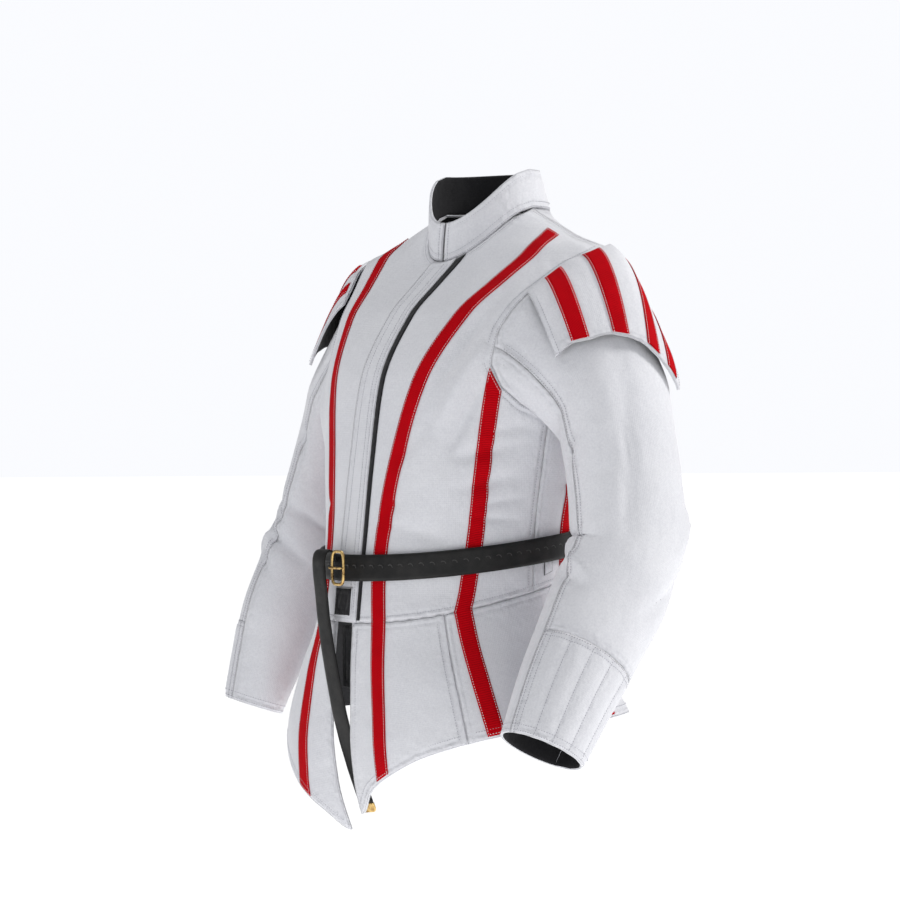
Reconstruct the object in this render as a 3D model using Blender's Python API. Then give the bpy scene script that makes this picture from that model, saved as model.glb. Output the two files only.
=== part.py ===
# Fencing jacket with its belt, in the hollow form and pose of a worn garment.
# Units are metres, +Z is up, the front faces -Y and the wearer's left is +X.
# The origin is the middle of the neck opening at the height of the shoulder seams' neck ends.

import math
from functools import lru_cache

import bmesh
import bpy
import numpy as np

# Sizes
WALL = 0.003
SEAM = 0.00015
REST = 0.0003
TAPE_WIDTH = 0.020
TAPE_THICK = 0.0010
BELT_WIDTH = 0.030
BELT_THICK = 0.0032
BELT_LIFT = 0.0034
COLLAR_HEIGHT = 0.046
FLAP_EDGE = 0.026
FLAP_STITCH = 0.018
NECK_HALF = 0.0765
NECK_FRONT = -0.064
NECK_BACK = 0.004
TIP_Z = -0.055
ARMPIT_Z = -0.252
WAIST_Z, WAIST_SLOPE = -0.441, 0.23
BELT_Z, BELT_SLOPE = -0.400, 0.13
BODY_ROWS = 18
SKIRT_ROWS = 7

# Level sections of the body: height, half width, front, back, middle, squareness, turn
RING_COLUMNS = ("z", "half", "front", "back", "middle", "square_front", "square_back", "turn")
RINGS = (
    (0.012, 0.062, -0.030, 0.076, -0.010, 2.0, 1.7, 8.0),
    (0.000, NECK_HALF, -0.040, 0.079, -0.012, 2.0, 1.5, 8.0),
    (-0.022, 0.122, -0.056, 0.085, -0.014, 2.0, 1.3, 8.0),
    (-0.038, 0.156, -0.067, 0.090, -0.016, 2.0, 1.35, 8.0),
    (-0.055, 0.203, -0.080, 0.094, -0.018, 2.1, 1.5, 8.0),
    (-0.090, 0.208, -0.112, 0.102, -0.030, 2.3, 2.0, 5.0),
    (-0.130, 0.205, -0.148, 0.108, -0.042, 2.5, 2.5, 2.0),
    (-0.210, 0.188, -0.187, 0.103, -0.052, 2.5, 2.5, 0.0),
    (-0.300, 0.172, -0.201, 0.090, -0.058, 2.4, 2.4, 0.0),
    (-0.400, 0.157, -0.213, 0.075, -0.060, 2.2, 2.2, 0.0),
    (-0.450, 0.155, -0.219, 0.070, -0.060, 2.15, 2.2, 0.0),
    (-0.500, 0.166, -0.223, 0.078, -0.060, 2.25, 2.3, 0.0),
    (-0.560, 0.194, -0.226, 0.098, -0.060, 2.6, 2.4, 0.0),
    (-0.620, 0.218, -0.226, 0.114, -0.060, 2.8, 2.6, 0.0),
    (-0.680, 0.230, -0.219, 0.122, -0.060, 2.8, 2.6, 0.0),
    (-0.760, 0.240, -0.192, 0.128, -0.060, 2.8, 2.6, 0.0),
)
RING_TABLE = np.array(RINGS)[::-1]

# Armhole: height, distance in from the side line on the front and on the back
ARMHOLE = (
    (TIP_Z, 0.000, 0.000),
    (-0.060, 0.017, 0.014),
    (-0.072, 0.036, 0.026),
    (-0.090, 0.056, 0.035),
    (-0.110, 0.070, 0.041),
    (-0.145, 0.088, 0.047),
    (-0.180, 0.088, 0.048),
    (-0.215, 0.070, 0.038),
    (-0.238, 0.040, 0.022),
    (ARMPIT_Z, 0.000, 0.000),
)

# Front columns: distance from the middle at the waist, top edge, place along it, bow
FRONT_COLUMNS = (
    ("middle", 0.000, "neck", 0.00, 0.000),
    ("stitch", FLAP_STITCH, "neck", 0.20, 0.000),
    ("flap", FLAP_EDGE, "neck", 0.30, 0.000),
    ("strip", FLAP_EDGE + 0.005, "neck", 0.43, 0.000),
    ("neck_a", 0.038, "neck", 0.70, -0.003),
    ("neck_point", 0.045, "neck", 1.00, -0.010),
    ("tape_in", 0.052, "shoulder", 0.34, -0.025),
    ("tape_out", 0.072, "shoulder", 0.51, -0.025),
    ("chest_a", 0.092, "shoulder", 0.72, -0.020),
    ("chest_b", 0.112, "arm", 0.00, -0.018),
    ("chest_c", 0.123, "arm", 0.22, -0.008),
    ("chest_d", 0.133, "arm", 0.43, -0.002),
    ("chest_e", 0.143, "arm", 0.62, 0.000),
    ("side_in", 0.154, "arm", 0.78, 0.000),
    ("side_out", 0.174, "arm", 0.88, 0.000),
    ("near_seam", 0.202, "arm", 0.95, 0.000),
    ("seam", 1.000, "arm", 1.00, 0.000),
)
BACK_COLUMNS = (
    ("middle", 0.000, "neck", 0.00, 0.000),
    ("spine_a", 0.026, "neck", 0.45, 0.000),
    ("spine_b", 0.050, "neck", 1.00, -0.006),
    ("blade_a", 0.066, "shoulder", 0.34, -0.012),
    ("blade_b", 0.082, "shoulder", 0.51, -0.012),
    ("blade_c", 0.100, "shoulder", 0.72, -0.012),
    ("blade_d", 0.118, "arm", 0.00, -0.010),
    ("blade_e", 0.138, "arm", 0.22, -0.006),
    ("side_in", 0.164, "arm", 0.42, 0.000),
    ("side_out", 0.184, "arm", 0.58, 0.000),
    ("near_a", 0.198, "arm", 0.75, 0.000),
    ("near_seam", 0.211, "arm", 0.88, 0.000),
    ("seam", 1.000, "arm", 1.00, 0.000),
)

# How far a column swings in, beside the armhole's hollow
BENDS = {
    ("front", "chest_a"): -0.014, ("front", "chest_b"): -0.048,
    ("front", "chest_c"): -0.018, ("front", "chest_d"): -0.008,
    ("back", "blade_c"): -0.006, ("back", "blade_d"): -0.018, ("back", "blade_e"): -0.008,
}

# Hem of the skirt: place round the side (0 front, 1 side, 2 back), height left, height right
HEM = (
    (0.00, -0.722, -0.742),
    (0.07, -0.716, -0.738),
    (0.16, -0.688, -0.716),
    (0.28, -0.665, -0.690),
    (0.45, -0.640, -0.655),
    (0.70, -0.618, -0.628),
    (1.00, -0.605, -0.610),
    (1.50, -0.602, -0.604),
    (2.00, -0.602, -0.602),
)

# Creases of the body: side, half, from (along, height), to (along, height), depth, width
BODY_FOLDS = (
    (1, "front", 0.150, -0.120, 0.120, -0.215, -0.0040, 0.017),
    (1, "front", 0.165, -0.175, 0.128, -0.255, 0.0035, 0.017),
    (1, "front", 0.175, -0.215, 0.140, -0.290, -0.0035, 0.016),
    (1, "front", 0.215, -0.285, 0.150, -0.300, -0.0030, 0.015),
    (1, "front", 0.220, -0.320, 0.160, -0.335, -0.0030, 0.015),
    (1, "front", 0.130, -0.395, 0.070, -0.380, -0.0025, 0.016),
    (-1, "front", 0.150, -0.120, 0.118, -0.220, -0.0040, 0.017),
    (-1, "front", 0.172, -0.190, 0.132, -0.270, 0.0035, 0.017),
    (-1, "front", 0.215, -0.290, 0.155, -0.310, -0.0030, 0.015),
    (-1, "front", 0.190, -0.370, 0.130, -0.385, -0.0028, 0.016),
    (1, "back", 0.165, -0.150, 0.120, -0.240, -0.0045, 0.018),
    (1, "back", 0.150, -0.300, 0.070, -0.335, -0.0035, 0.017),
    (1, "back", 0.120, -0.375, 0.040, -0.390, -0.0035, 0.016),
    (-1, "back", 0.165, -0.155, 0.115, -0.235, -0.0045, 0.018),
    (-1, "back", 0.160, -0.310, 0.080, -0.350, -0.0035, 0.017),
    (-1, "back", 0.120, -0.375, 0.040, -0.392, -0.0035, 0.016),
)

# Flutes of the skirt: place round the side, depth at the hem left, right, width of the flute
SKIRT_FLUTES = (
    (0.20, 0.0040, 0.0050, 0.060),
    (0.36, 0.0000, 0.0120, 0.110),
    (0.46, -0.0060, -0.0050, 0.070),
    (0.80, 0.0060, 0.0050, 0.085),
    (1.10, -0.0080, -0.0070, 0.080),
    (1.38, 0.0080, 0.0090, 0.085),
    (1.66, -0.0070, -0.0080, 0.080),
    (1.90, 0.0060, 0.0060, 0.075),
)


def unit(vector):
    """Scale a vector, or rows of vectors, to length one."""
    vector = np.asarray(vector, float)
    return vector / np.maximum(np.linalg.norm(vector, axis=-1, keepdims=True), 1e-12)


def smooth(x, xs, ys):
    """Read a curve through the points xs, ys at x, with even slopes and no overshoot."""
    xs, ys = np.asarray(xs, float), np.asarray(ys, float)
    rise = np.diff(ys) / np.diff(xs)
    slope = np.empty_like(ys)
    slope[0], slope[-1] = rise[0], rise[-1]
    flat = rise[:-1] * rise[1:] <= 0
    total = np.where(flat, 1.0, rise[:-1] + rise[1:])
    slope[1:-1] = np.where(flat, 0.0, 2 * rise[:-1] * rise[1:] / total)
    i = int(np.clip(np.searchsorted(xs, x) - 1, 0, len(xs) - 2))
    h = xs[i + 1] - xs[i]
    u = min(max((x - xs[i]) / h, 0.0), 1.0)
    a = ys[i] * (1 + 2 * u) * (1 - u) ** 2 + ys[i + 1] * u * u * (3 - 2 * u)
    return a + h * u * (1 - u) * (slope[i] * (1 - u) - slope[i + 1] * u)


@lru_cache(maxsize=None)
def quarter(z, half):
    """Give one quarter of the level section at z: its arc lengths and its points."""
    row = {name: smooth(z, RING_TABLE[:, 0], RING_TABLE[:, k])
           for k, name in enumerate(RING_COLUMNS) if k}
    t = np.linspace(0, math.pi / 2, 97)
    power = 2 / (row["square_front"] if half == "front" else row["square_back"])
    reach = row[half] - row["middle"]
    x = row["half"] * np.sin(t) ** power
    y = reach * np.clip(np.cos(t), 0, 1) ** power
    arc = np.concatenate([[0], np.cumsum(np.hypot(np.diff(x), np.diff(y)))])
    return arc, x, y, row["middle"], math.radians(row["turn"])


def arc_length(half, z):
    """Length of a quarter section from the middle line to the side."""
    return quarter(round(z, 6), half)[0][-1]


def section_point(side, half, along, z):
    """Point of the plain body at a distance along its level section."""
    arc, x, y, middle, turn = quarter(round(z, 6), half)
    px, py = side * np.interp(along, arc, x), np.interp(along, arc, y)
    c, s = math.cos(turn), math.sin(turn)
    return np.array([px * c - py * s, middle + px * s + py * c, z])


def fold_height(side, half, along, z):
    """Depth of the body's creases at a point of the pattern."""
    total = 0.0
    for row_side, row_half, a0, z0, a1, z1, depth, width in BODY_FOLDS:
        if row_side != side or row_half != half:
            continue
        start, run = np.array([a0, z0]), np.array([a1 - a0, z1 - z0])
        here = np.array([along, z]) - start
        u = float(np.clip(here @ run / (run @ run), 0, 1))
        gap = np.linalg.norm(here - u * run)
        total += depth * math.sin(math.pi * (0.15 + 0.7 * u)) * math.exp(-(gap / width) ** 2)
    return total


def body_normal(side, half, along, z):
    """Outward direction of the plain body."""
    step = 0.002
    full = arc_length(half, z)
    lo, hi = max(along - step, 0.0), min(along + step, full)
    share = along / full
    across = section_point(side, half, hi, z) - section_point(side, half, lo, z)
    up = (section_point(side, half, share * arc_length(half, z + step), z + step)
          - section_point(side, half, share * arc_length(half, z - step), z - step))
    out = np.cross(across, up) * (1 if half == "front" else -1) * side
    return unit(out)


def body_point(side, half, along, z):
    """Point of the body's outer face, with creases, and its outward direction."""
    normal = body_normal(side, half, along, z)
    if along > arc_length(half, z) - 2 * SEAM:
        other = "back" if half == "front" else "front"
        normal = unit(normal + body_normal(side, other, arc_length(other, z), z))
    height = fold_height(side, half, along, z)
    return section_point(side, half, along, z) + normal * height, normal


def level_on(side, half, share, height, slope):
    """Height of a sloping cut through the body at a share of the quarter."""
    z = height
    for _ in range(5):
        z = height + slope * section_point(side, half, share * arc_length(half, z), z)[1]
    return z


def waist_height(side, half, share):
    return level_on(side, half, share, WAIST_Z, WAIST_SLOPE)


def round_place(place):
    """Turn a place round the side, 0 front to 2 back, into a half and a share."""
    return ("front", place) if place <= 1 else ("back", 2 - place)


def skirt_point(side, place, down):
    """Point of the skirt's outer face between the waist (0) and the hem (1)."""
    half, share = round_place(place)
    top = waist_height(side, half, share)
    places = [row[0] for row in HEM]
    hem = smooth(place, places, [row[1 if side > 0 else 2] for row in HEM])
    z = top + down * (hem - top)
    along = share * arc_length(half, z)
    normal = body_normal(side, half, along, z)
    height = 0.0
    for at, left, right, width in SKIRT_FLUTES:
        depth = left if side > 0 else right
        for twin in (at, 4 - at) if at > 1.5 else (at,):
            height += depth * math.exp(-((place - twin) / (width * 1.9)) ** 2)
    return section_point(side, half, along, z) + normal * height * down ** 1.6, normal

# Sleeve sections: distance down the arm, middle x, y, z, half width sideways, half depth
ARM_LEFT = (
    (0.000, 0.219, -0.004, -0.205, 0.066, 0.076),
    (0.060, 0.234, -0.003, -0.262, 0.066, 0.071),
    (0.120, 0.248, -0.002, -0.322, 0.066, 0.070),
    (0.190, 0.259, -0.006, -0.392, 0.066, 0.070),
    (0.245, 0.262, -0.026, -0.444, 0.065, 0.069),
    (0.312, 0.268, -0.064, -0.504, 0.061, 0.064),
    (0.372, 0.273, -0.100, -0.556, 0.056, 0.058),
    (0.450, 0.276, -0.139, -0.626, 0.048, 0.050),
)
ARM_RIGHT = (
    (0.000, 0.224, -0.044, -0.205, 0.061, 0.074),
    (0.060, 0.235, -0.054, -0.262, 0.060, 0.070),
    (0.120, 0.245, -0.068, -0.322, 0.059, 0.068),
    (0.190, 0.253, -0.089, -0.390, 0.058, 0.066),
    (0.245, 0.260, -0.111, -0.440, 0.056, 0.061),
    (0.312, 0.269, -0.140, -0.500, 0.054, 0.053),
    (0.372, 0.276, -0.156, -0.548, 0.050, 0.044),
    (0.450, 0.284, -0.174, -0.612, 0.046, 0.034),
)
QUILT_TOP = 0.338
CUFF = 0.450
CAP_TOP = 0.020
CAP_UNDER = 0.070
CAP_ROWS = 5
ARM_ROWS = 11
QUILT_ROWS = 6
QUILT_RAISE = 0.0022
FRONT_SEAM, BACK_SEAM = 7, 18

# Creases of the sleeves: side, from (angle, down), to (angle, down), depth, width
SLEEVE_FOLDS = (
    (1, 100.0, 0.190, 200.0, 0.215, -0.0060, 0.016),
    (1, 95.0, 0.235, 190.0, 0.245, -0.0050, 0.014),
    (1, 20.0, 0.020, 35.0, 0.190, -0.0035, 0.014),
    (1, -60.0, 0.215, -10.0, 0.275, -0.0045, 0.014),
    (1, -75.0, 0.150, -30.0, 0.200, 0.0040, 0.016),
    (1, 60.0, 0.265, 110.0, 0.225, 0.0040, 0.014),
    (-1, 95.0, 0.180, 200.0, 0.205, -0.0060, 0.016),
    (-1, 80.0, 0.225, 150.0, 0.245, -0.0050, 0.014),
    (-1, 10.0, 0.030, 30.0, 0.170, -0.0035, 0.014),
    (-1, 30.0, 0.255, 90.0, 0.215, 0.0040, 0.014),
    (-1, -70.0, 0.200, -10.0, 0.260, -0.0045, 0.014),
)

# Shoulder wing columns: angle round the arm and height at the hem, half and place at the top
WING_COLUMNS = (
    (-52.0, -0.222, "back", 0.44), (-38.5, -0.212, "back", 0.38), (-26.5, -0.198, "back", 0.29),
    (-21.0, -0.191, "back", 0.22), (-17.5, -0.187, "back", 0.19), (-5.5, -0.174, "back", 0.09), (1.5, -0.169, "front", 0.00),
    (9.0, -0.165, "front", 0.06), (21.0, -0.162, "front", 0.15), (30.0, -0.164, "front", 0.22),
    (38.0, -0.168, "front", 0.26), (50.0, -0.172, "front", 0.34), (64.0, -0.186, "front", 0.43),
)
WING_TAPES = ((1, 2), (4, 5), (7, 8), (10, 11))
WING_ROWS = 7
WING_LIFT = (0.0062, 0.0120)
WING_PUFF = 0.0070
WING_WALL = 0.0024
LINING_WALL = 0.0010


def armhole_place(half, f):
    """Pattern place of a point on the armhole, 0 at the shoulder tip to 1 at the armpit."""
    z = TIP_Z + f ** 1.5 * (ARMPIT_Z - TIP_Z)
    heights = [row[0] for row in ARMHOLE][::-1]
    inset = smooth(z, heights, [row[1 if half == "front" else 2] for row in ARMHOLE][::-1])
    return arc_length(half, z) - inset, z


def top_place(half, edge, f):
    """Pattern place of a point on a panel's top edge."""
    if edge == "arm":
        return armhole_place(half, f)
    if edge == "shoulder":
        return arc_length(half, f * TIP_Z), f * TIP_Z
    z = NECK_FRONT * (1 - f ** 2.2) if half == "front" else NECK_BACK * (1 - f ** 2)
    arc, x, _, _, _ = quarter(round(z, 6), half)
    return (arc[-1] if f == 1.0 else float(np.interp(f * NECK_HALF, x, arc))), z


def columns_of(half):
    return FRONT_COLUMNS if half == "front" else BACK_COLUMNS


def column_place(side, half, row, v):
    """Pattern place on a column between the waist (0) and the panel's top edge (1)."""
    _, at_waist, edge, f, bow = row
    z0, share = WAIST_Z, 1.0
    for _ in range(4):
        share = 1.0 if at_waist == 1.0 else at_waist / arc_length(half, z0)
        z0 = waist_height(side, half, share)
    a0 = share * arc_length(half, z0)
    a1, z1 = top_place(half, edge, f)
    z = z0 + v * (z1 - z0)
    if at_waist == 1.0:
        return arc_length(half, z), z
    if at_waist == 0.0:
        return 0.0, z
    bend = BENDS.get((half, row[0]), 0.0)
    swing = bow * 6.75 * v * (1 - v) ** 2 + bend * 1.05 * v ** 1.2 * (1 - v ** 40)
    return a0 + v * (a1 - a0) + swing, z


def loop_rows():
    """Armhole places in order: front from the tip down, then the back from the armpit up."""
    front = [("front", row[3]) for row in FRONT_COLUMNS if row[2] == "arm"]
    back = [("back", row[3]) for row in BACK_COLUMNS if row[2] == "arm"][::-1]
    return front + back[1:-1]


@lru_cache(maxsize=None)
def armhole_loop(side):
    """Corner points of the armhole with the body's outward directions there."""
    points, normals = [], []
    for half, f in loop_rows():
        point, normal = body_point(side, half, *armhole_place(half, f))
        points.append(point)
        normals.append(normal)
    return np.array(points), np.array(normals)


def doubled(rows):
    """Put a middle point between neighbours of a closed loop."""
    return np.stack([rows, (rows + np.roll(rows, -1, 0)) / 2], 1).reshape(-1, rows.shape[1])


def arm_section(side, down):
    """Middle, sideways and forward half axes of the sleeve at a distance down the arm."""
    table = np.array(ARM_LEFT if side > 0 else ARM_RIGHT)

    def middle(d):
        return np.array([smooth(d, table[:, 0], table[:, k]) for k in (1, 2, 3)])

    along = unit(middle(min(down + 0.01, CUFF)) - middle(max(down - 0.01, 0.0)))
    out = unit(np.array([1.0, 0, 0]) - along[0] * along)
    ahead = np.cross(out, along)
    ahead = ahead if ahead[1] < 0 else -ahead
    wide, deep = (smooth(down, table[:, 0], table[:, k]) for k in (4, 5))
    return middle(down), out * wide, ahead * deep, along


def arm_point(side, angle, down, creases=True):
    """Point of the sleeve's outer face below the cap."""
    middle, out, ahead, _ = arm_section(side, down)
    c, s = math.cos(math.radians(angle)), math.sin(math.radians(angle))
    flat = smooth(down, (0.0, 0.14, 0.26, 0.46), (0.78, 0.80, 0.96, 1.0)) if c < 0 else 1.0
    ray = out * c * flat + ahead * s
    height = 0.0
    if creases:
        for row_side, a0, d0, a1, d1, depth, width in SLEEVE_FOLDS:
            if row_side != side:
                continue
            best = 0.0
            for turn in (-360.0, 0.0, 360.0):
                here = np.array([(angle + turn - a0) * 0.00115, down - d0])
                run = np.array([(a1 - a0) * 0.00115, d1 - d0])
                u = float(np.clip(here @ run / (run @ run), 0, 1))
                gap = np.linalg.norm(here - u * run)
                best = max(best, math.sin(math.pi * (0.15 + 0.7 * u))
                           * math.exp(-(gap / width) ** 2))
            height += depth * best
    point = middle + ray + unit(ray) * height
    return np.array([side * point[0], point[1], point[2]])


def sleeve_angles():
    """Angles of the lines down the sleeve: 0 outside, 90 in front, 180 under, 270 behind."""
    rows = loop_rows()
    front = 2 * (sum(1 for half, _ in rows if half == "front") - 1)
    back = 2 * len(rows) - front
    return ([180 * k / front for k in range(front)]
            + [180 + 180 * k / back for k in range(back)])


@lru_cache(maxsize=None)
def sleeve_grid(side):
    """Outer face of a whole sleeve: rows from the armhole to the cuff."""
    loop, normals = armhole_loop(side)
    loop, normals = doubled(loop), doubled(normals)
    angles = sleeve_angles()
    rows = []
    begin = [CAP_TOP + CAP_UNDER * (0.5 - 0.5 * math.cos(math.radians(a))) ** 1.5
             for a in angles]
    start = np.array([arm_point(side, a, d) for a, d in zip(angles, begin)])
    slope = np.array([arm_point(side, a, d + 0.02) for a, d in zip(angles, begin)]) - start
    for j in range(CAP_ROWS):
        v = j / CAP_ROWS
        row = []
        for k, angle in enumerate(angles):
            under = 0.5 - 0.5 * math.cos(math.radians(angle))
            ahead = math.sin(math.radians(angle))
            leave = np.array([side, 0.9 * ahead if ahead > 0 else 0.4 * ahead,
                              -0.32 - 0.05 * (1 - under)])
            leave = unit(leave) * (0.080 - 0.040 * under)
            arrive = unit(slope[k]) * (0.095 - 0.065 * under)
            h00, h10 = (1 + 2 * v) * (1 - v) ** 2, v * (1 - v) ** 2
            h01, h11 = v * v * (3 - 2 * v), v * v * (v - 1)
            point = h00 * loop[k] + h10 * leave + h01 * start[k] + h11 * arrive
            if j == 0:
                point = point + unit(leave) * 2.2 * REST
            row.append(point)
        rows.append(row)
    for j in range(ARM_ROWS + 1):
        share = j / ARM_ROWS
        rows.append([arm_point(side, a, d + share * (QUILT_TOP - d))
                     for a, d in zip(angles, begin)])
    for j in range(1, QUILT_ROWS + 1):
        down = QUILT_TOP + (CUFF - QUILT_TOP) * j / QUILT_ROWS
        rows.append([arm_point(side, a, down) for a in angles])
    grid = np.array(rows)
    return grid, normals


def grid_normals(grid, closed, middle):
    """Outward directions over a grid, pointing away from the middle line of points."""
    up = np.gradient(grid, axis=0)
    if closed:
        across = (np.roll(grid, -1, 1) - np.roll(grid, 1, 1)) / 2
    else:
        across = np.gradient(grid, axis=1)
    normal = unit(np.cross(across, up))
    flip = np.sum(normal * (grid - middle), axis=-1, keepdims=True).sum() < 0
    return -normal if flip else normal


@lru_cache(maxsize=None)
def sleeve_shell(side):
    """Outer and inner faces of the whole sleeve."""
    grid, body = sleeve_grid(side)
    middle = grid.mean(axis=1, keepdims=True)
    normal = grid_normals(grid, True, middle)
    edge = unit(body + normal[0])
    reach = WALL / np.clip(np.sum(edge * normal[0], -1, keepdims=True), 0.6, 1)
    inner = grid - normal * WALL
    inner[0] = grid[0] - edge * reach
    return grid, inner


def armhole_edge(side):
    """Inward directions that the body's walls take round the armhole, corner by corner."""
    loop, body = armhole_loop(side)
    grid, _ = sleeve_grid(side)
    normal = grid_normals(grid, True, grid.mean(axis=1, keepdims=True))[0][::2]
    edge = unit(body + normal)
    reach = WALL / np.clip(np.sum(edge * body, -1, keepdims=True), 0.6, 1)
    return {row: -edge[k] * reach[k] for k, row in enumerate(loop_rows())}

# Skirt columns: place at the waist (a body column's name, or a share), place at the hem
SKIRT_FRONT = (("stitch", 0.052), ("neck_a", 0.130), ("tape_in", 0.215), ("tape_out", 0.274),
               ("chest_a", 0.370), ("chest_b", 0.470), ("chest_d", 0.570), ("chest_e", 0.620))
SKIRT_SIDE = (("chest_e", 0.620), ("side_in", 0.690), ("side_out", 0.750), ("near_seam", 0.880),
              ("seam", 1.000), ("back near_seam", 1.075), ("back near_a", 1.150))
SKIRT_BACK = (("back near_a", 1.150), ("back side_out", 1.215), ("back side_in", 1.275),
              ("back blade_e", 1.380), ("back blade_d", 1.470), ("back blade_c", 1.550),
              ("back blade_b", 1.635), ("back blade_a", 1.710), ("back spine_b", 1.785),
              ("back spine_a", 1.890), ("back middle", 2.000))

COLLAR_FRONT = (0.03, 0.12, 0.24, 0.36, 0.50, 0.66, 0.83, 1.00)
COLLAR_BACK = (0.80, 0.60, 0.40, 0.20, 0.00)
COLLAR_LEAN = ((0.0, 0.004), (1.0, -0.004), (1.5, -0.016), (2.0, -0.020))
COLLAR_ROWS = 4

# Belt's hanging end: middle x, y, z, turn of its flat side from facing forward
TAIL_ROUTE = (
    (-0.018, -0.2295, -0.4220, 0.0), (-0.018, -0.2300, -0.4140, 0.0),
    (-0.018, -0.2330, -0.4095, 0.0), (-0.018, -0.2390, -0.4075, 0.0),
    (-0.018, -0.2440, -0.4110, 0.0), (-0.018, -0.2462, -0.4200, 0.0),
    (-0.017, -0.2460, -0.4350, 0.0), (-0.016, -0.2440, -0.4550, 0.0),
    (-0.014, -0.2420, -0.4850, 0.0), (-0.010, -0.2390, -0.5200, 2.0),
    (-0.005, -0.2340, -0.5600, 4.0), (-0.002, -0.2270, -0.6000, 6.0),
    (0.000, -0.2180, -0.6350, 7.0), (0.001, -0.2070, -0.6680, 8.0),
    (0.002, -0.1970, -0.6950, 8.0), (0.003, -0.1930, -0.7060, 8.0),
)

FINISHES = {
    "white_cloth": ((0.86, 0.86, 0.88), 0.85, 0.0),
    "black_cloth": ((0.015, 0.015, 0.018), 0.85, 0.0),
    "red_tape": ((0.55, 0.012, 0.025), 0.75, 0.0),
    "black_leather": ((0.020, 0.018, 0.016), 0.45, 0.0),
    "brass": ((0.70, 0.48, 0.18), 0.30, 1.0),
}


@lru_cache(maxsize=None)
def waist_place(name):
    """Place round the side at which a body column meets the waist seam."""
    half = "back" if name.startswith("back ") else "front"
    at_waist = dict((row[0], row[1]) for row in columns_of(half))[name.replace("back ", "")]
    share = at_waist
    for _ in range(0 if at_waist in (0.0, 1.0) else 5):
        share = at_waist / arc_length(half, waist_height(1, half, min(share, 1.0)))
    return share if half == "front" else 2 - share


def skirt_place(column, v):
    """Place round the side of a skirt column at v from the waist to the hem."""
    start = waist_place(column[0])
    return start + v * (column[1] - start)


def body_grid(side, half, rows=BODY_ROWS):
    """Outer face and outward directions of one side's panel, waist row first."""
    trim = 1.3 * SEAM / 0.42
    points, normals = [], []
    for j in range(rows + 1):
        v = trim + (1 - 2 * trim) * j / rows
        line = []
        for column in columns_of(half):
            along, z = column_place(side, half, column, v)
            if column[0] == "seam":
                along -= SEAM
            elif column[0] == "middle" and half == "front":
                along += SEAM
            line.append(body_point(side, half, along, z))
        points.append([p for p, _ in line])
        normals.append([n for _, n in line])
    return np.array(points), np.array(normals)


def body_inner(side, half, outer, normal):
    """Inner face of one side's panel, mitred to the sleeve at the armhole."""
    inner = outer - normal * WALL
    edge = armhole_edge(side)
    for k, column in enumerate(columns_of(half)):
        if column[2] == "arm":
            key = (half, column[3])
            if key not in edge:
                key = ("front", column[3])
            inner[-1, k] = outer[-1, k] + edge[key]
    return inner


def skirt_grid(side, columns, rows=SKIRT_ROWS):
    """Outer face and outward directions of a skirt panel, waist row first."""
    trim = 1.3 * SEAM / 0.18
    points, normals = [], []
    for j in range(rows + 1):
        v = trim + (1 - trim) * j / rows
        line = []
        for k, column in enumerate(columns):
            place = skirt_place(column, v)
            if k == 0:
                place += SEAM / 0.25
            elif k == len(columns) - 1 and place < 2:
                place -= SEAM / 0.25
            line.append(skirt_point(side, place, v))
        points.append([p for p, _ in line])
        normals.append([n for _, n in line])
    return np.array(points), np.array(normals)


def slab_faces(rows, cols, closed):
    """Faces of a wall between an outer and an inner grid."""
    faces = []
    size = rows * cols
    wide = cols if closed else cols - 1
    for j in range(rows - 1):
        for k in range(wide):
            a, b = j * cols + k, j * cols + (k + 1) % cols
            c, d = b + cols, a + cols
            faces.append((a, b, c, d))
            faces.append((size + d, size + c, size + b, size + a))
    for k in range(wide):
        b = (k + 1) % cols
        faces.append((k, size + k, size + b, b))
        top = (rows - 1) * cols
        faces.append((top + b, size + top + b, size + top + k, top + k))
    if not closed:
        for j in range(rows - 1):
            a, d = j * cols, (j + 1) * cols
            faces.append((a, d, size + d, size + a))
            b, c = a + cols - 1, d + cols - 1
            faces.append((b, size + b, size + c, c))
    return faces


def add_object(name, points, faces, finish):
    """Make one closed solid with its own material."""
    mesh = bpy.data.meshes.new(name)
    mesh.from_pydata([tuple(p) for p in points], [], faces)
    work = bmesh.new()
    work.from_mesh(mesh)
    bmesh.ops.recalc_face_normals(work, faces=work.faces)
    bmesh.ops.triangulate(work, faces=work.faces)
    if work.calc_volume(signed=True) < 0:
        bmesh.ops.reverse_faces(work, faces=work.faces)
    work.to_mesh(mesh)
    work.free()
    colour, rough, metal = FINISHES[finish]
    material = bpy.data.materials.new(name + "_" + finish)
    material.use_nodes = True
    shader = material.node_tree.nodes["Principled BSDF"]
    shader.inputs["Base Color"].default_value = (*colour, 1.0)
    shader.inputs["Roughness"].default_value = rough
    shader.inputs["Metallic"].default_value = metal
    mesh.materials.append(material)
    item = bpy.data.objects.new(name, mesh)
    bpy.context.scene.collection.objects.link(item)
    return item


def add_slab(name, outer, inner, finish, closed=False):
    """Make a wall between two grids of points."""
    rows, cols = outer.shape[:2]
    points = np.concatenate([outer.reshape(-1, 3), inner.reshape(-1, 3)])
    return add_object(name, points, slab_faces(rows, cols, closed), finish)


def add_laid(name, points, normals, finish, rest=REST, thick=TAPE_THICK):
    """Lay a strip on a panel: the panel's own points moved out."""
    return add_slab(name, points + normals * (rest + thick), points + normals * rest, finish)


def side_name(side):
    return "left" if side > 0 else "right"


def column_index(half, name):
    return [row[0] for row in columns_of(half)].index(name)


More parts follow.
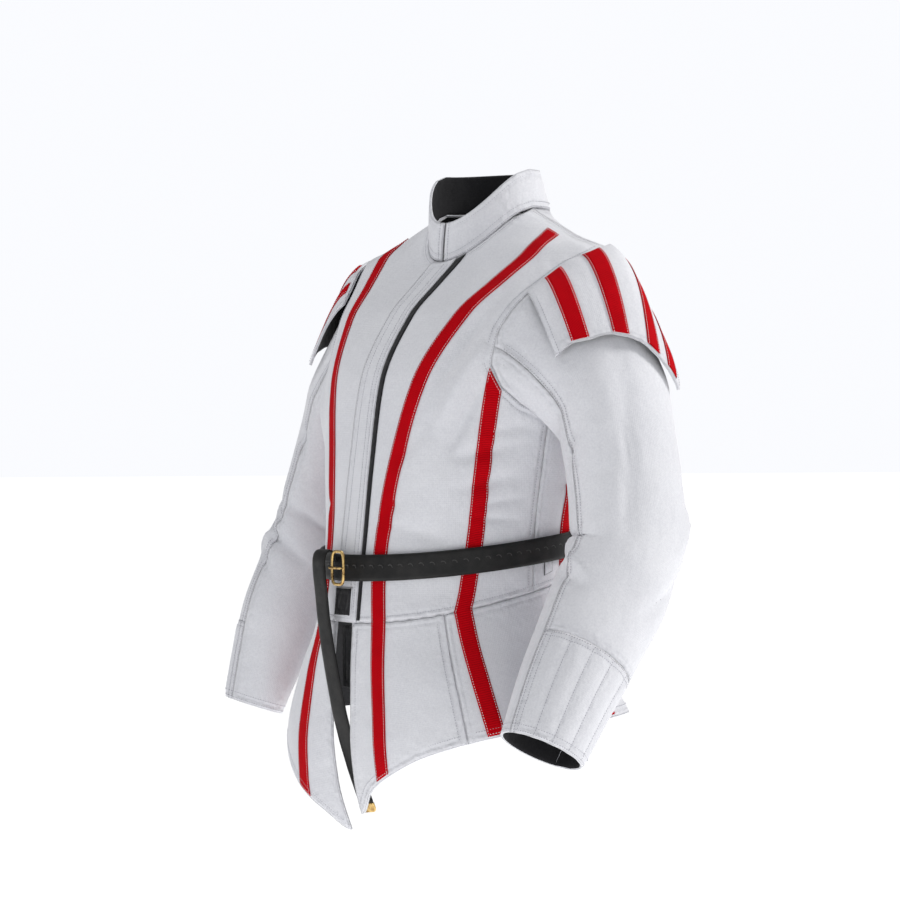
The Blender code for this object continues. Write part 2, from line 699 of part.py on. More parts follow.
def trimmed(points, normals, low, high):
    """Rows of a grid between two fractional row numbers."""
    def at(grid, r):
        j = min(int(r), len(grid) - 2)
        return grid[j] + (r - j) * (grid[j + 1] - grid[j])

    inside = [j for j in range(len(points)) if low + 0.05 < j < high - 0.05]
    marks = [low] + inside + [high]
    return np.array([at(points, r) for r in marks]), unit(np.array([at(normals, r) for r in marks]))


def build_body(grids):
    for side in (1, -1):
        outer, normal = grids[side, "front"]
        inner = body_inner(side, "front", outer, normal)
        add_slab("front_" + side_name(side), outer, inner, "white_cloth")
    outer, normal, inner = [], [], []
    for side in (1, -1):
        points, directions = grids[side, "back"]
        inside = body_inner(side, "back", points, directions)
        order = slice(None, 0, -1) if side > 0 else slice(None)
        outer.append(points[:, order])
        inner.append(inside[:, order])
    add_slab("back", np.concatenate(outer, 1), np.concatenate(inner, 1), "white_cloth")


def build_skirt(grids):
    for side in (1, -1):
        for part in ("skirt_front", "skirt_side"):
            outer, normal = grids[side, part]
            add_slab(part + "_" + side_name(side), outer, outer - normal * WALL, "white_cloth")
    left, left_n = grids[1, "skirt_back"]
    right, right_n = grids[-1, "skirt_back"]
    outer = np.concatenate([left[:, :-1], right[:, ::-1]], 1)
    normal = np.concatenate([left_n[:, :-1], right_n[:, ::-1]], 1)
    add_slab("skirt_back", outer, outer - normal * WALL, "white_cloth")


def build_tapes(grids):
    runs = (("tape_front", "front", ("tape_in", "tape_out"), "skirt_front", (2, 3), 0.35),
            ("tape_side_front", "front", ("side_in", "side_out"), "skirt_side", (1, 2), 0.30),
            ("tape_side_back", "back", ("side_out", "side_in"), "skirt_back", (1, 2), 1.00))
    for side in (1, -1):
        for name, half, names, skirt, pair, stop in runs:
            body, body_n = grids[side, half]
            keep = [column_index(half, n) for n in names]
            upper, upper_n = trimmed(body[:, keep], body_n[:, keep], 0, BODY_ROWS - stop)
            low, low_n = grids[side, skirt]
            lower, lower_n = trimmed(low[:, list(pair)], low_n[:, list(pair)], 0, SKIRT_ROWS - 0.12)
            points = np.concatenate([lower[::-1], upper])
            normals = np.concatenate([lower_n[::-1], upper_n])
            add_laid(name + "_" + side_name(side), points, normals, "red_tape")


def build_placket(grids):
    left, left_n = grids[1, "front"]
    right, right_n = grids[-1, "front"]
    cols = ((right, right_n, 1), (right, right_n, 0), (left, left_n, 1), (left, left_n, 2))
    points = np.stack([g[:, k] for g, _, k in cols], 1)
    normals = np.stack([n[:, k] for _, n, k in cols], 1)
    points, normals = trimmed(points, normals, 0, BODY_ROWS - 0.1)
    add_laid("placket", points, normals, "white_cloth", 0.0006, 0.0020)
    share = np.array([0.10, 1.0])
    strip = np.stack([left[:, 2] + w * (left[:, 3] - left[:, 2]) for w in share], 1)
    strip_n = np.stack([left_n[:, 2], left_n[:, 3]], 1)
    strip, strip_n = trimmed(strip, strip_n, 0.1, BODY_ROWS - 0.1)
    add_laid("zip_underlap", strip, strip_n, "black_cloth", REST, 0.0008)


def build_collar():
    places = [(1, "front", f) for f in COLLAR_FRONT] + [(1, "back", f) for f in COLLAR_BACK]
    places += [(-1, half, f) for _, half, f in places[-2::-1]]
    base, rise, tops = [], [], []
    for side, half, f in places:
        along, z = top_place(half, "neck", f)
        point = section_point(side, half, along, z)
        place = f if half == "front" else 2 - f
        lean = smooth(place, [r[0] for r in COLLAR_LEAN], [r[1] for r in COLLAR_LEAN])
        base.append(point + np.array([0, 0, REST + 0.0004]))
        rise.append(np.array([-0.002 * side * math.sin(math.pi * place / 2), lean, COLLAR_HEIGHT]))
    base, rise = np.array(base), np.array(rise)
    grid = np.array([base + rise * (j / COLLAR_ROWS) for j in range(COLLAR_ROWS + 1)])
    middle = np.array([0.0, 0.0, 0.0])
    normal = grid_normals(grid, False, middle)
    normal[..., 2] *= 0.3
    normal = unit(normal)
    add_slab("collar", grid, grid - normal * 0.0024, "white_cloth")
    lining = grid[:, 1:-1] + np.array([0, 0, 0.0004])
    lining[-1] -= rise[1:-1] * 0.06
    lining_n = normal[:, 1:-1]
    add_slab("collar_lining", lining - lining_n * 0.0027, lining - lining_n * 0.0037, "black_cloth")


def build_sleeves():
    for side in (1, -1):
        name = side_name(side)
        outer, inner = sleeve_shell(side)
        quilt = CAP_ROWS + ARM_ROWS
        top = list(range(BACK_SEAM, outer.shape[1])) + list(range(0, FRONT_SEAM + 1))
        under = list(range(FRONT_SEAM, BACK_SEAM + 1))
        for part, keep, rows in (("sleeve_outer", top, slice(0, quilt + 1)),
                                 ("forearm_quilt", top, slice(quilt, None)),
                                 ("sleeve_under", under, slice(0, None))):
            out, inn = outer[rows][:, keep].copy(), inner[rows][:, keep].copy()
            for grid in (out, inn):
                for end, back in ((0, 1), (-1, -2)):
                    grid[:, end] += unit(grid[:, back] - grid[:, end]) * SEAM
                if part == "sleeve_outer":
                    grid[-1] += unit(grid[-2] - grid[-1]) * SEAM
                if part == "forearm_quilt":
                    grid[0] += unit(grid[1] - grid[0]) * SEAM
            if part == "forearm_quilt":
                wall = unit(out - inn)
                ridge = np.array([k % 2 for k in range(len(top))], float)
                fade = np.array([0.0] + [1.0] * (QUILT_ROWS - 1) + [0.0])
                out += wall * (fade[:, None] * ridge[None, :] * QUILT_RAISE)[..., None]
            add_slab(part + "_" + name, out, inn, "white_cloth")


def sleeve_line(half, f):
    """Fractional line of the sleeve that starts at a place on the armhole."""
    rows = [row[1] for row in loop_rows() if row[0] == "front"]
    if half == "front":
        return 2 * float(np.interp(f, rows, range(len(rows))))
    back = [0.0] + [row[1] for row in loop_rows() if row[0] == "back"][::-1]
    return -2 * float(np.interp(f, back, range(len(back))))


def angle_line(angle):
    """Fractional line of the sleeve at an angle round the arm."""
    marks = sleeve_angles()
    angles = [a - 360 for a in marks[14:]] + marks[:14]
    return float(np.interp(angle, angles, range(14 - len(marks), 14)))


def read_grid(grid, row, line):
    """Point of a closed grid between its rows and lines."""
    j, k = min(int(row), len(grid) - 2), math.floor(line)
    wide = grid.shape[1]
    u, w = row - j, line - k
    near = grid[j, k % wide] * (1 - w) + grid[j, (k + 1) % wide] * w
    far = grid[j + 1, k % wide] * (1 - w) + grid[j + 1, (k + 1) % wide] * w
    return near * (1 - u) + far * u


def wing_grid(side):
    """Outer face of a shoulder wing, from the armhole to its hem, clear of the sleeve."""
    grid, body = sleeve_grid(side)
    normal = grid_normals(grid, True, grid.mean(axis=1, keepdims=True))
    normal[0] = unit(normal[0] + body)
    lines, directions = [], []
    for angle, height, half, f in WING_COLUMNS:
        first, last = sleeve_line(half, f), angle_line(angle)
        marks = np.linspace(0, 12, 121)
        heights = [read_grid(grid, m, last)[2] for m in marks]
        low = float(np.interp(-height, -np.array(heights), marks))
        line, ways = [], []
        for j in range(WING_ROWS + 1):
            v = j / WING_ROWS
            row, at = v * low, first + v * (last - first)
            ways.append(unit(read_grid(normal, row, at)))
            lift = WING_LIFT[0] + v * (WING_LIFT[1] - WING_LIFT[0])
            lift += WING_PUFF * math.sin(math.pi * v ** 0.8)
            line.append(read_grid(grid, row, at) + ways[-1] * lift)
        lines.append(line)
        directions.append(ways)
    return np.array(lines).transpose(1, 0, 2), np.array(directions).transpose(1, 0, 2)


def build_wings():
    for side in (1, -1):
        name = side_name(side)
        grid, normal = wing_grid(side)
        add_slab("wing_" + name, grid, grid - normal * WING_WALL, "white_cloth")
        lift = WING_WALL + REST
        add_slab("wing_lining_" + name, grid - normal * lift,
                 grid - normal * (lift + LINING_WALL), "black_cloth")
        for n, pair in enumerate(WING_TAPES):
            points, normals = trimmed(grid[:, list(pair)], normal[:, list(pair)], 0.25, WING_ROWS - 0.1)
            add_laid("wing_tape_%d_%s" % (n + 1, name), points, normals, "red_tape")


def belt_ring(lift):
    """Rows of the belt's section points round the waist, lower edge then upper edge."""
    rows = []
    for edge in (-0.5, 0.0, 0.5):
        line = []
        for side, half, shares in ((1, "front", np.linspace(0, 1, 13)),
                                   (1, "back", np.linspace(1, 0, 12)[1:]),
                                   (-1, "back", np.linspace(0, 1, 12)[1:]),
                                   (-1, "front", np.linspace(1, 0, 13)[1:-1])):
            for share in shares:
                z = level_on(side, half, share, BELT_Z + edge * BELT_WIDTH, BELT_SLOPE)
                along = share * arc_length(half, z)
                normal = body_normal(side, half, along, z)
                level = unit(np.array([normal[0], normal[1], 0]))
                front = math.exp(-((along - 0.010) / 0.040) ** 2) if half == "front" else 0
                line.append(section_point(side, half, along, z) + level * (lift + 0.0042 * front))
        rows.append(line)
    return np.array(rows)


def strap(name, route, width, thick, finish, ends=True):
    """Sweep a flat strap along its middle points; each row holds x, y, z and a turn."""
    middle = np.array([r[:3] for r in route])
    along = unit(np.gradient(middle, axis=0))
    across = []
    for row, way in zip(route, along):
        turn = math.radians(row[3])
        wide = np.array([math.cos(turn), math.sin(turn), 0.0])
        across.append(unit(wide - (wide @ way) * way))
    across = np.array(across)
    face = unit(np.cross(across, along))
    columns = np.array([-0.5, 0.0, 0.5])
    outer = middle[:, None] + across[:, None] * columns[None, :, None] * width
    return add_slab(name, outer + face[:, None] * thick / 2, outer - face[:, None] * thick / 2,
                    finish)


def tube_ring(name, corners, thick, depth, finish):
    """Make a flat frame: corners of its outer outline in the plane, and its bar's width."""
    middle, wide, tall, out = corners
    points, faces = [], []
    ring = []
    count = 20
    for k in range(count):
        a = 2 * math.pi * (k + 0.5) / count
        c, s = math.cos(a), math.sin(a)
        ring.append((math.copysign(abs(c) ** 0.55, c), math.copysign(abs(s) ** 0.55, s)))
    loops = []
    for scale, level in ((0.0, 0.5), (0.0, -0.5), (1.0, -0.5), (1.0, 0.5)):
        loop = []
        for u, v in ring:
            flat = wide * u + tall * v
            size = np.array([np.linalg.norm(wide), np.linalg.norm(tall)])
            cut = (size - scale * thick) / size
            loop.append(middle + wide * u * cut[0] + tall * v * cut[1] + out * depth * level)
        loops.append(loop)
    for loop in loops:
        points += loop
    for i in range(4):
        a, b = i * count, ((i + 1) % 4) * count
        for k in range(count):
            n = (k + 1) % count
            faces.append((a + k, a + n, b + n, b + k))
    return add_object(name, points, faces, finish)


def box(name, middle, halves, finish):
    """Make a block from its middle and its three half-axis vectors."""
    points = [middle + a * halves[0] + b * halves[1] + c * halves[2]
              for a in (-1, 1) for b in (-1, 1) for c in (-1, 1)]
    faces = [(0, 1, 3, 2), (4, 6, 7, 5), (0, 4, 5, 1), (2, 3, 7, 6), (0, 2, 6, 4), (1, 5, 7, 3)]
    return add_object(name, points, faces, finish)


def build_belt():
    inner = belt_ring(BELT_LIFT)
    outer = belt_ring(BELT_LIFT + BELT_THICK)
    add_slab("belt_band", outer, inner, "black_leather", closed=True)
    strap("belt_tail", TAIL_ROUTE, 0.025, 0.0028, "black_leather")
    z = level_on(-1, "front", 0.05, BELT_Z, BELT_SLOPE)
    middle = np.array([0.012, -0.2262 - 0.0042 - 0.0030 - BELT_THICK - 0.0020, z])
    wide, tall = np.array([0.014, 0, 0]), np.array([0, 0, 0.021])
    tube_ring("buckle_frame", (middle, wide, tall, np.array([0, 1, 0])), 0.0035, 0.0026, "brass")
    box("buckle_prong", middle + np.array([0, -0.0030, 0]),
        (np.array([0.013, 0, 0]), np.array([0, 0.0012, 0]), np.array([0, 0, 0.0016])), "brass")
    end, last = np.array(TAIL_ROUTE[-1][:3]), np.array(TAIL_ROUTE[-2][:3])
    way = unit(end - last)
    across = np.array([math.cos(math.radians(8)), math.sin(math.radians(8)), 0])
    across = unit(across - (across @ way) * way)
    face = unit(np.cross(across, way))
    box("belt_chape", end + way * (0.0012 + 0.006),
        (across * 0.0128, face * 0.0022, way * 0.006), "brass")


def build_marks(grids):
    """Patch, side label and the strip in the skirt's opening."""
    left, left_n = grids[1, "front"]
    right, right_n = grids[-1, "front"]
    cols = ((right, right_n, 1), (right, right_n, 0), (left, left_n, 1))
    points = np.stack([g[:, k] for g, _, k in cols], 1)
    normals = np.stack([n[:, k] for _, n, k in cols], 1)
    points, normals = trimmed(points, normals, 0.25, 1.70)
    points[:, 0] += (points[:, 1] - points[:, 0]) * 0.08
    add_laid("patch", points, normals, "black_cloth", 0.0029, 0.0008)
    low = column_index("back", "near_seam")
    back, back_n = grids[1, "back"]
    points = np.stack([back[:, low - 1], back[:, low]], 1)
    normals = np.stack([back_n[:, low - 1], back_n[:, low]], 1)
    points, normals = trimmed(points, normals, 1.1, 3.2)
    add_laid("side_label", points, normals, "white_cloth", REST, 0.0006)
    box("skirt_tab", np.array([0.002, -0.2160, -0.5330]),
        (np.array([0.0125, 0, 0]), np.array([0, 0.0010, 0]), np.array([0.001, 0.0, 0.0360])),
        "black_cloth")


def main():
    for item in list(bpy.context.scene.objects):
        bpy.data.objects.remove(item, do_unlink=True)
    grids = {}
    for side in (1, -1):
        for half in ("front", "back"):
            grids[side, half] = body_grid(side, half)
        grids[side, "skirt_front"] = skirt_grid(side, SKIRT_FRONT)
        grids[side, "skirt_side"] = skirt_grid(side, SKIRT_SIDE)
        grids[side, "skirt_back"] = skirt_grid(side, SKIRT_BACK)
    build_body(grids)
    build_skirt(grids)
    build_tapes(grids)
    build_placket(grids)
    build_collar()
    build_sleeves()
    build_wings()
    build_belt()
    build_marks(grids)


main()
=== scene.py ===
"""Fencing jacket with its buckled belt, worn form: cloth, tapes, sewing, leather and brass.

Units are metres, +Z is up, the front faces -Y and the wearer's left is +X.
"""

import logging
import math
from dataclasses import dataclass
from enum import Enum
from typing import Sequence

import bpy
import numpy as np
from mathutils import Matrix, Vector


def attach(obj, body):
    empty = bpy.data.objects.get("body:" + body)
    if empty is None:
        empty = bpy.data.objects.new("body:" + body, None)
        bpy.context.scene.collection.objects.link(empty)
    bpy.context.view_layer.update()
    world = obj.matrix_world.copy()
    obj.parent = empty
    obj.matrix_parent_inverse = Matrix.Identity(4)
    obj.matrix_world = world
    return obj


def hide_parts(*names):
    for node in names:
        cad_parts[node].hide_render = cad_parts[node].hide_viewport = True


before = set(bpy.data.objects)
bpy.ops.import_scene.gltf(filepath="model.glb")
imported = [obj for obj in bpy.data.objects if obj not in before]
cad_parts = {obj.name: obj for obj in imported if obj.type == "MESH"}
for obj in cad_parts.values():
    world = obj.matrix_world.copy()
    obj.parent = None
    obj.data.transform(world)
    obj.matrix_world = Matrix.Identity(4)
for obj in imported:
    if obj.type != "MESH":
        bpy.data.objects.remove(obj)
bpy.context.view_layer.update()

Array = np.ndarray
Table = tuple[tuple, ...]
log = logging.getLogger("jacket")


class Half(Enum):
    """Front or back half of the body."""

    FRONT = "front"
    BACK = "back"


class Side(Enum):
    """Wearer's left or right."""

    LEFT = 1
    RIGHT = -1

    @property
    def word(self) -> str:
        """Name of the side in a piece's name."""
        return self.name.lower()


# Level sections of the body: height, half width, front, back, middle, squareness, turn
RINGS: Table = (
    (0.012, 0.062, -0.030, 0.076, -0.010, 2.0, 1.7, 8.0),
    (0.000, 0.0765, -0.040, 0.079, -0.012, 2.0, 1.5, 8.0),
    (-0.022, 0.122, -0.056, 0.085, -0.014, 2.0, 1.3, 8.0),
    (-0.038, 0.156, -0.067, 0.090, -0.016, 2.0, 1.35, 8.0),
    (-0.055, 0.203, -0.080, 0.094, -0.018, 2.1, 1.5, 8.0),
    (-0.090, 0.208, -0.112, 0.102, -0.030, 2.3, 2.0, 5.0),
    (-0.130, 0.205, -0.148, 0.108, -0.042, 2.5, 2.5, 2.0),
    (-0.210, 0.188, -0.187, 0.103, -0.052, 2.5, 2.5, 0.0),
    (-0.300, 0.172, -0.201, 0.090, -0.058, 2.4, 2.4, 0.0),
    (-0.400, 0.157, -0.213, 0.075, -0.060, 2.2, 2.2, 0.0),
    (-0.450, 0.155, -0.219, 0.070, -0.060, 2.15, 2.2, 0.0),
    (-0.500, 0.166, -0.223, 0.078, -0.060, 2.25, 2.3, 0.0),
    (-0.560, 0.194, -0.226, 0.098, -0.060, 2.6, 2.4, 0.0),
    (-0.620, 0.218, -0.226, 0.114, -0.060, 2.8, 2.6, 0.0),
    (-0.680, 0.230, -0.219, 0.122, -0.060, 2.8, 2.6, 0.0),
    (-0.760, 0.240, -0.192, 0.128, -0.060, 2.8, 2.6, 0.0),
)
# Armhole: height, distance in from the side line on the front and on the back
ARMHOLE: Table = (
    (-0.055, 0.000, 0.000), (-0.060, 0.017, 0.014), (-0.072, 0.036, 0.026),
    (-0.090, 0.056, 0.035), (-0.110, 0.070, 0.041), (-0.145, 0.088, 0.047),
    (-0.180, 0.088, 0.048), (-0.215, 0.070, 0.038), (-0.238, 0.040, 0.022),
    (-0.252, 0.000, 0.000),
)
# Lines up a panel: distance from the middle at the waist, top edge, place along it, bow, bend
FRONT_LINES: Table = (
    (0.000, "neck", 0.00, 0.000, 0.0), (0.018, "neck", 0.20, 0.000, 0.0),
    (0.026, "neck", 0.30, 0.000, 0.0), (0.031, "neck", 0.43, 0.000, 0.0),
    (0.038, "neck", 0.70, -0.003, 0.0), (0.045, "neck", 1.00, -0.010, 0.0),
    (0.052, "shoulder", 0.34, -0.025, 0.0), (0.072, "shoulder", 0.51, -0.025, 0.0),
    (0.092, "shoulder", 0.72, -0.020, -0.014), (0.112, "arm", 0.00, -0.018, -0.048),
    (0.123, "arm", 0.22, -0.008, -0.018), (0.133, "arm", 0.43, -0.002, -0.008),
    (0.143, "arm", 0.62, 0.000, 0.0), (0.154, "arm", 0.78, 0.000, 0.0),
    (0.174, "arm", 0.88, 0.000, 0.0), (0.202, "arm", 0.95, 0.000, 0.0),
    (1.000, "arm", 1.00, 0.000, 0.0),
)
BACK_LINES: Table = (
    (0.000, "neck", 0.00, 0.000, 0.0), (0.026, "neck", 0.45, 0.000, 0.0),
    (0.050, "neck", 1.00, -0.006, 0.0), (0.066, "shoulder", 0.34, -0.012, 0.0),
    (0.082, "shoulder", 0.51, -0.012, 0.0), (0.100, "shoulder", 0.72, -0.012, -0.006),
    (0.118, "arm", 0.00, -0.010, -0.018), (0.138, "arm", 0.22, -0.006, -0.008),
    (0.164, "arm", 0.42, 0.000, 0.0), (0.184, "arm", 0.58, 0.000, 0.0),
    (0.198, "arm", 0.75, 0.000, 0.0), (0.211, "arm", 0.88, 0.000, 0.0),
    (1.000, "arm", 1.00, 0.000, 0.0),
)
# Creases of the body: side, half, from (along, height), to (along, height), depth, width
BODY_CREASES: Table = (
    (1, "front", 0.150, -0.120, 0.120, -0.215, -0.0040, 0.017),
    (1, "front", 0.165, -0.175, 0.128, -0.255, 0.0035, 0.017),
    (1, "front", 0.175, -0.215, 0.140, -0.290, -0.0035, 0.016),
    (1, "front", 0.215, -0.285, 0.150, -0.300, -0.0030, 0.015),
    (1, "front", 0.220, -0.320, 0.160, -0.335, -0.0030, 0.015),
    (1, "front", 0.130, -0.395, 0.070, -0.380, -0.0025, 0.016),
    (-1, "front", 0.150, -0.120, 0.118, -0.220, -0.0040, 0.017),
    (-1, "front", 0.172, -0.190, 0.132, -0.270, 0.0035, 0.017),
    (-1, "front", 0.215, -0.290, 0.155, -0.310, -0.0030, 0.015),
    (-1, "front", 0.190, -0.370, 0.130, -0.385, -0.0028, 0.016),
    (1, "back", 0.165, -0.150, 0.120, -0.240, -0.0045, 0.018),
    (1, "back", 0.150, -0.300, 0.070, -0.335, -0.0035, 0.017),
    (1, "back", 0.120, -0.375, 0.040, -0.390, -0.0035, 0.016),
    (-1, "back", 0.165, -0.155, 0.115, -0.235, -0.0045, 0.018),
    (-1, "back", 0.160, -0.310, 0.080, -0.350, -0.0035, 0.017),
    (-1, "back", 0.120, -0.375, 0.040, -0.392, -0.0035, 0.016),
    (1, "front", 0.236, -0.262, 0.186, -0.272, -0.0022, 0.007),
    (1, "front", 0.228, -0.345, 0.178, -0.356, -0.0020, 0.007),
    (1, "front", 0.222, -0.372, 0.170, -0.368, -0.0018, 0.007),
    (1, "front", 0.120, -0.250, 0.075, -0.305, -0.0012, 0.012),
    (1, "front", 0.085, -0.345, 0.050, -0.372, -0.0012, 0.009),
    (-1, "front", 0.230, -0.265, 0.180, -0.275, -0.0022, 0.007),
    (-1, "front", 0.225, -0.340, 0.175, -0.352, -0.0020, 0.007),
    (-1, "front", 0.095, -0.340, 0.055, -0.365, -0.0012, 0.009),
    (1, "back", 0.215, -0.330, 0.150, -0.345, -0.0022, 0.008),
    (-1, "back", 0.215, -0.325, 0.155, -0.342, -0.0022, 0.008),
    (1, "back", 0.080, -0.100, 0.020, -0.120, -0.0016, 0.012),
    (-1, "back", 0.070, -0.110, 0.015, -0.122, -0.0016, 0.012),
)
# Hem of the skirt: place round the side (0 front, 1 side, 2 back), height left, height right
HEM: Table = (
    (0.00, -0.722, -0.742), (0.07, -0.716, -0.738), (0.16, -0.688, -0.716),
    (0.28, -0.665, -0.690), (0.45, -0.640, -0.655), (0.70, -0.618, -0.628),
    (1.00, -0.605, -0.610), (1.50, -0.602, -0.604), (2.00, -0.602, -0.602),
)
# Flutes of the skirt: place round the side, depth at the hem left, right, width
FLUTES: Table = (
    (0.20, 0.0040, 0.0050, 0.060), (0.36, 0.0000, 0.0120, 0.110),
    (0.46, -0.0060, -0.0050, 0.070), (0.80, 0.0060, 0.0050, 0.085),
    (1.10, -0.0080, -0.0070, 0.080), (1.38, 0.0080, 0.0090, 0.085),
    (1.66, -0.0070, -0.0080, 0.080), (1.90, 0.0060, 0.0060, 0.075),
)
# Skirt lines: line of the body at the waist (b before those of the back), place at the hem
SKIRT_FRONT: Table = (("1", 0.052), ("4", 0.130), ("6", 0.215), ("7", 0.274),
                      ("8", 0.370), ("9", 0.470), ("11", 0.570), ("12", 0.620))
SKIRT_SIDE: Table = (("12", 0.620), ("13", 0.690), ("14", 0.750), ("15", 0.880),
                     ("16", 1.000), ("b11", 1.075), ("b10", 1.150))
SKIRT_BACK: Table = (("b10", 1.150), ("b9", 1.215), ("b8", 1.275), ("b7", 1.380),
                     ("b6", 1.470), ("b5", 1.550), ("b4", 1.635), ("b3", 1.710),
                     ("b2", 1.785), ("b1", 1.890), ("b0", 2.000))
# Sleeve sections: distance down the arm, middle x, y, z, half width sideways, half depth
ARM_LEFT: Table = (
    (0.000, 0.219, -0.004, -0.205, 0.066, 0.076), (0.060, 0.234, -0.003, -0.262, 0.066, 0.071),
    (0.120, 0.248, -0.002, -0.322, 0.066, 0.070), (0.190, 0.259, -0.006, -0.392, 0.066, 0.070),
    (0.245, 0.262, -0.026, -0.444, 0.065, 0.069), (0.312, 0.268, -0.064, -0.504, 0.061, 0.064),
    (0.372, 0.273, -0.100, -0.556, 0.056, 0.058), (0.450, 0.276, -0.139, -0.626, 0.048, 0.050),
)
ARM_RIGHT: Table = (
    (0.000, 0.224, -0.044, -0.205, 0.061, 0.074), (0.060, 0.235, -0.054, -0.262, 0.060, 0.070),
    (0.120, 0.245, -0.068, -0.322, 0.059, 0.068), (0.190, 0.253, -0.089, -0.390, 0.058, 0.066),
    (0.245, 0.260, -0.111, -0.440, 0.056, 0.061), (0.312, 0.269, -0.140, -0.500, 0.054, 0.053),
    (0.372, 0.276, -0.156, -0.548, 0.050, 0.044), (0.450, 0.284, -0.174, -0.612, 0.046, 0.034),
)
# Creases of the sleeves: side, from (angle, down), to (angle, down), depth, width
ARM_CREASES: Table = (
    (1, 100.0, 0.190, 200.0, 0.215, -0.0060, 0.016),
    (1, 95.0, 0.235, 190.0, 0.245, -0.0050, 0.014),
    (1, 20.0, 0.020, 35.0, 0.190, -0.0035, 0.014),
    (1, -60.0, 0.215, -10.0, 0.275, -0.0045, 0.014),
    (1, -75.0, 0.150, -30.0, 0.200, 0.0040, 0.016),
    (1, 60.0, 0.265, 110.0, 0.225, 0.0040, 0.014),
    (-1, 95.0, 0.180, 200.0, 0.205, -0.0060, 0.016),
    (-1, 80.0, 0.225, 150.0, 0.245, -0.0050, 0.014),
    (-1, 10.0, 0.030, 30.0, 0.170, -0.0035, 0.014),
    (-1, 30.0, 0.255, 90.0, 0.215, 0.0040, 0.014),
    (-1, -70.0, 0.200, -10.0, 0.260, -0.0045, 0.014),
    (1, 70.0, 0.205, 120.0, 0.198, -0.0030, 0.008),
    (1, 62.0, 0.285, 112.0, 0.262, -0.0028, 0.008),
    (1, 40.0, 0.075, 60.0, 0.165, -0.0022, 0.010),
    (1, -40.0, 0.300, 20.0, 0.318, -0.0020, 0.009),
    (1, 75.0, 0.060, 100.0, 0.110, -0.0030, 0.009),
    (-1, 40.0, 0.150, 95.0, 0.205, -0.0034, 0.009),
    (-1, 50.0, 0.190, 100.0, 0.238, -0.0034, 0.009),
    (-1, 60.0, 0.235, 105.0, 0.275, -0.0028, 0.008),
    (-1, -10.0, 0.230, 45.0, 0.265, -0.0026, 0.010),
    (-1, 75.0, 0.060, 100.0, 0.110, -0.0030, 0.009),
)
# Shoulder wing: angle round the arm and height at the hem, half and place at the top
WING_LINES: Table = (
    (-52.0, -0.222, "back", 0.44), (-38.5, -0.212, "back", 0.38), (-26.5, -0.198, "back", 0.29),
    (-21.0, -0.191, "back", 0.22), (-17.5, -0.187, "back", 0.19), (-5.5, -0.174, "back", 0.09),
    (1.5, -0.169, "front", 0.00), (9.0, -0.165, "front", 0.06), (21.0, -0.162, "front", 0.15),
    (30.0, -0.164, "front", 0.22), (38.0, -0.168, "front", 0.26), (50.0, -0.172, "front", 0.34),
    (64.0, -0.186, "front", 0.43),
)
# Belt's hanging end: middle x, y, z, turn of its flat side from facing forward
TAIL_ROUTE: Table = (
    (-0.018, -0.2295, -0.4220, 0.0), (-0.018, -0.2300, -0.4140, 0.0),
    (-0.018, -0.2330, -0.4095, 0.0), (-0.018, -0.2390, -0.4075, 0.0),
    (-0.018, -0.2440, -0.4110, 0.0), (-0.018, -0.2462, -0.4200, 0.0),
    (-0.017, -0.2460, -0.4350, 0.0), (-0.016, -0.2440, -0.4550, 0.0),
    (-0.014, -0.2420, -0.4850, 0.0), (-0.010, -0.2390, -0.5200, 2.0),
    (-0.005, -0.2340, -0.5600, 4.0), (-0.002, -0.2270, -0.6000, 6.0),
    (0.000, -0.2180, -0.6350, 7.0), (0.001, -0.2070, -0.6680, 8.0),
    (0.002, -0.1970, -0.6950, 8.0), (0.003, -0.1930, -0.7060, 8.0),
)


def unit(vector: Array) -> Array:
    """Scale a vector, or rows of vectors, to length one."""
    vector = np.asarray(vector, float)
    return vector / np.maximum(np.linalg.norm(vector, axis=-1, keepdims=True), 1e-12)


def curve(x: Array | float, xs: Sequence[float], ys: Sequence[float]) -> Array:
    """Read a smooth curve with no overshoot.

    Args:
        x: Where to read it.
        xs: Its rising knots.
        ys: Its values there.

    Returns:
        The values at x.
    """
    x, xs, ys = np.asarray(x, float), np.asarray(xs, float), np.asarray(ys, float)
    rise = np.diff(ys) / np.diff(xs)
    slope = np.empty_like(ys)
    slope[0], slope[-1] = rise[0], rise[-1]
    flat = rise[:-1] * rise[1:] <= 0
    total = np.where(flat, 1.0, rise[:-1] + rise[1:])
    slope[1:-1] = np.where(flat, 0.0, 2 * rise[:-1] * rise[1:] / total)
    i = np.clip(np.searchsorted(xs, x) - 1, 0, len(xs) - 2)
    h = xs[i + 1] - xs[i]
    u = np.clip((x - xs[i]) / h, 0.0, 1.0)
    a = ys[i] * (1 + 2 * u) * (1 - u) ** 2 + ys[i + 1] * u * u * (3 - 2 * u)
    return a + h * u * (1 - u) * (slope[i] * (1 - u) - slope[i + 1] * u)


def refined(rows: Array, count: int, axis: int = 0) -> Array:
    """Put count - 1 even steps between neighbours along an axis."""
    rows = np.moveaxis(np.asarray(rows, float), axis, 0)
    marks = np.arange((len(rows) - 1) * count + 1) / count
    j = np.minimum(marks.astype(int), len(rows) - 2)
    w = (marks - j).reshape(-1, *([1] * (rows.ndim - 1)))
    return np.moveaxis(rows[j] * (1 - w) + rows[j + 1] * w, 0, axis)


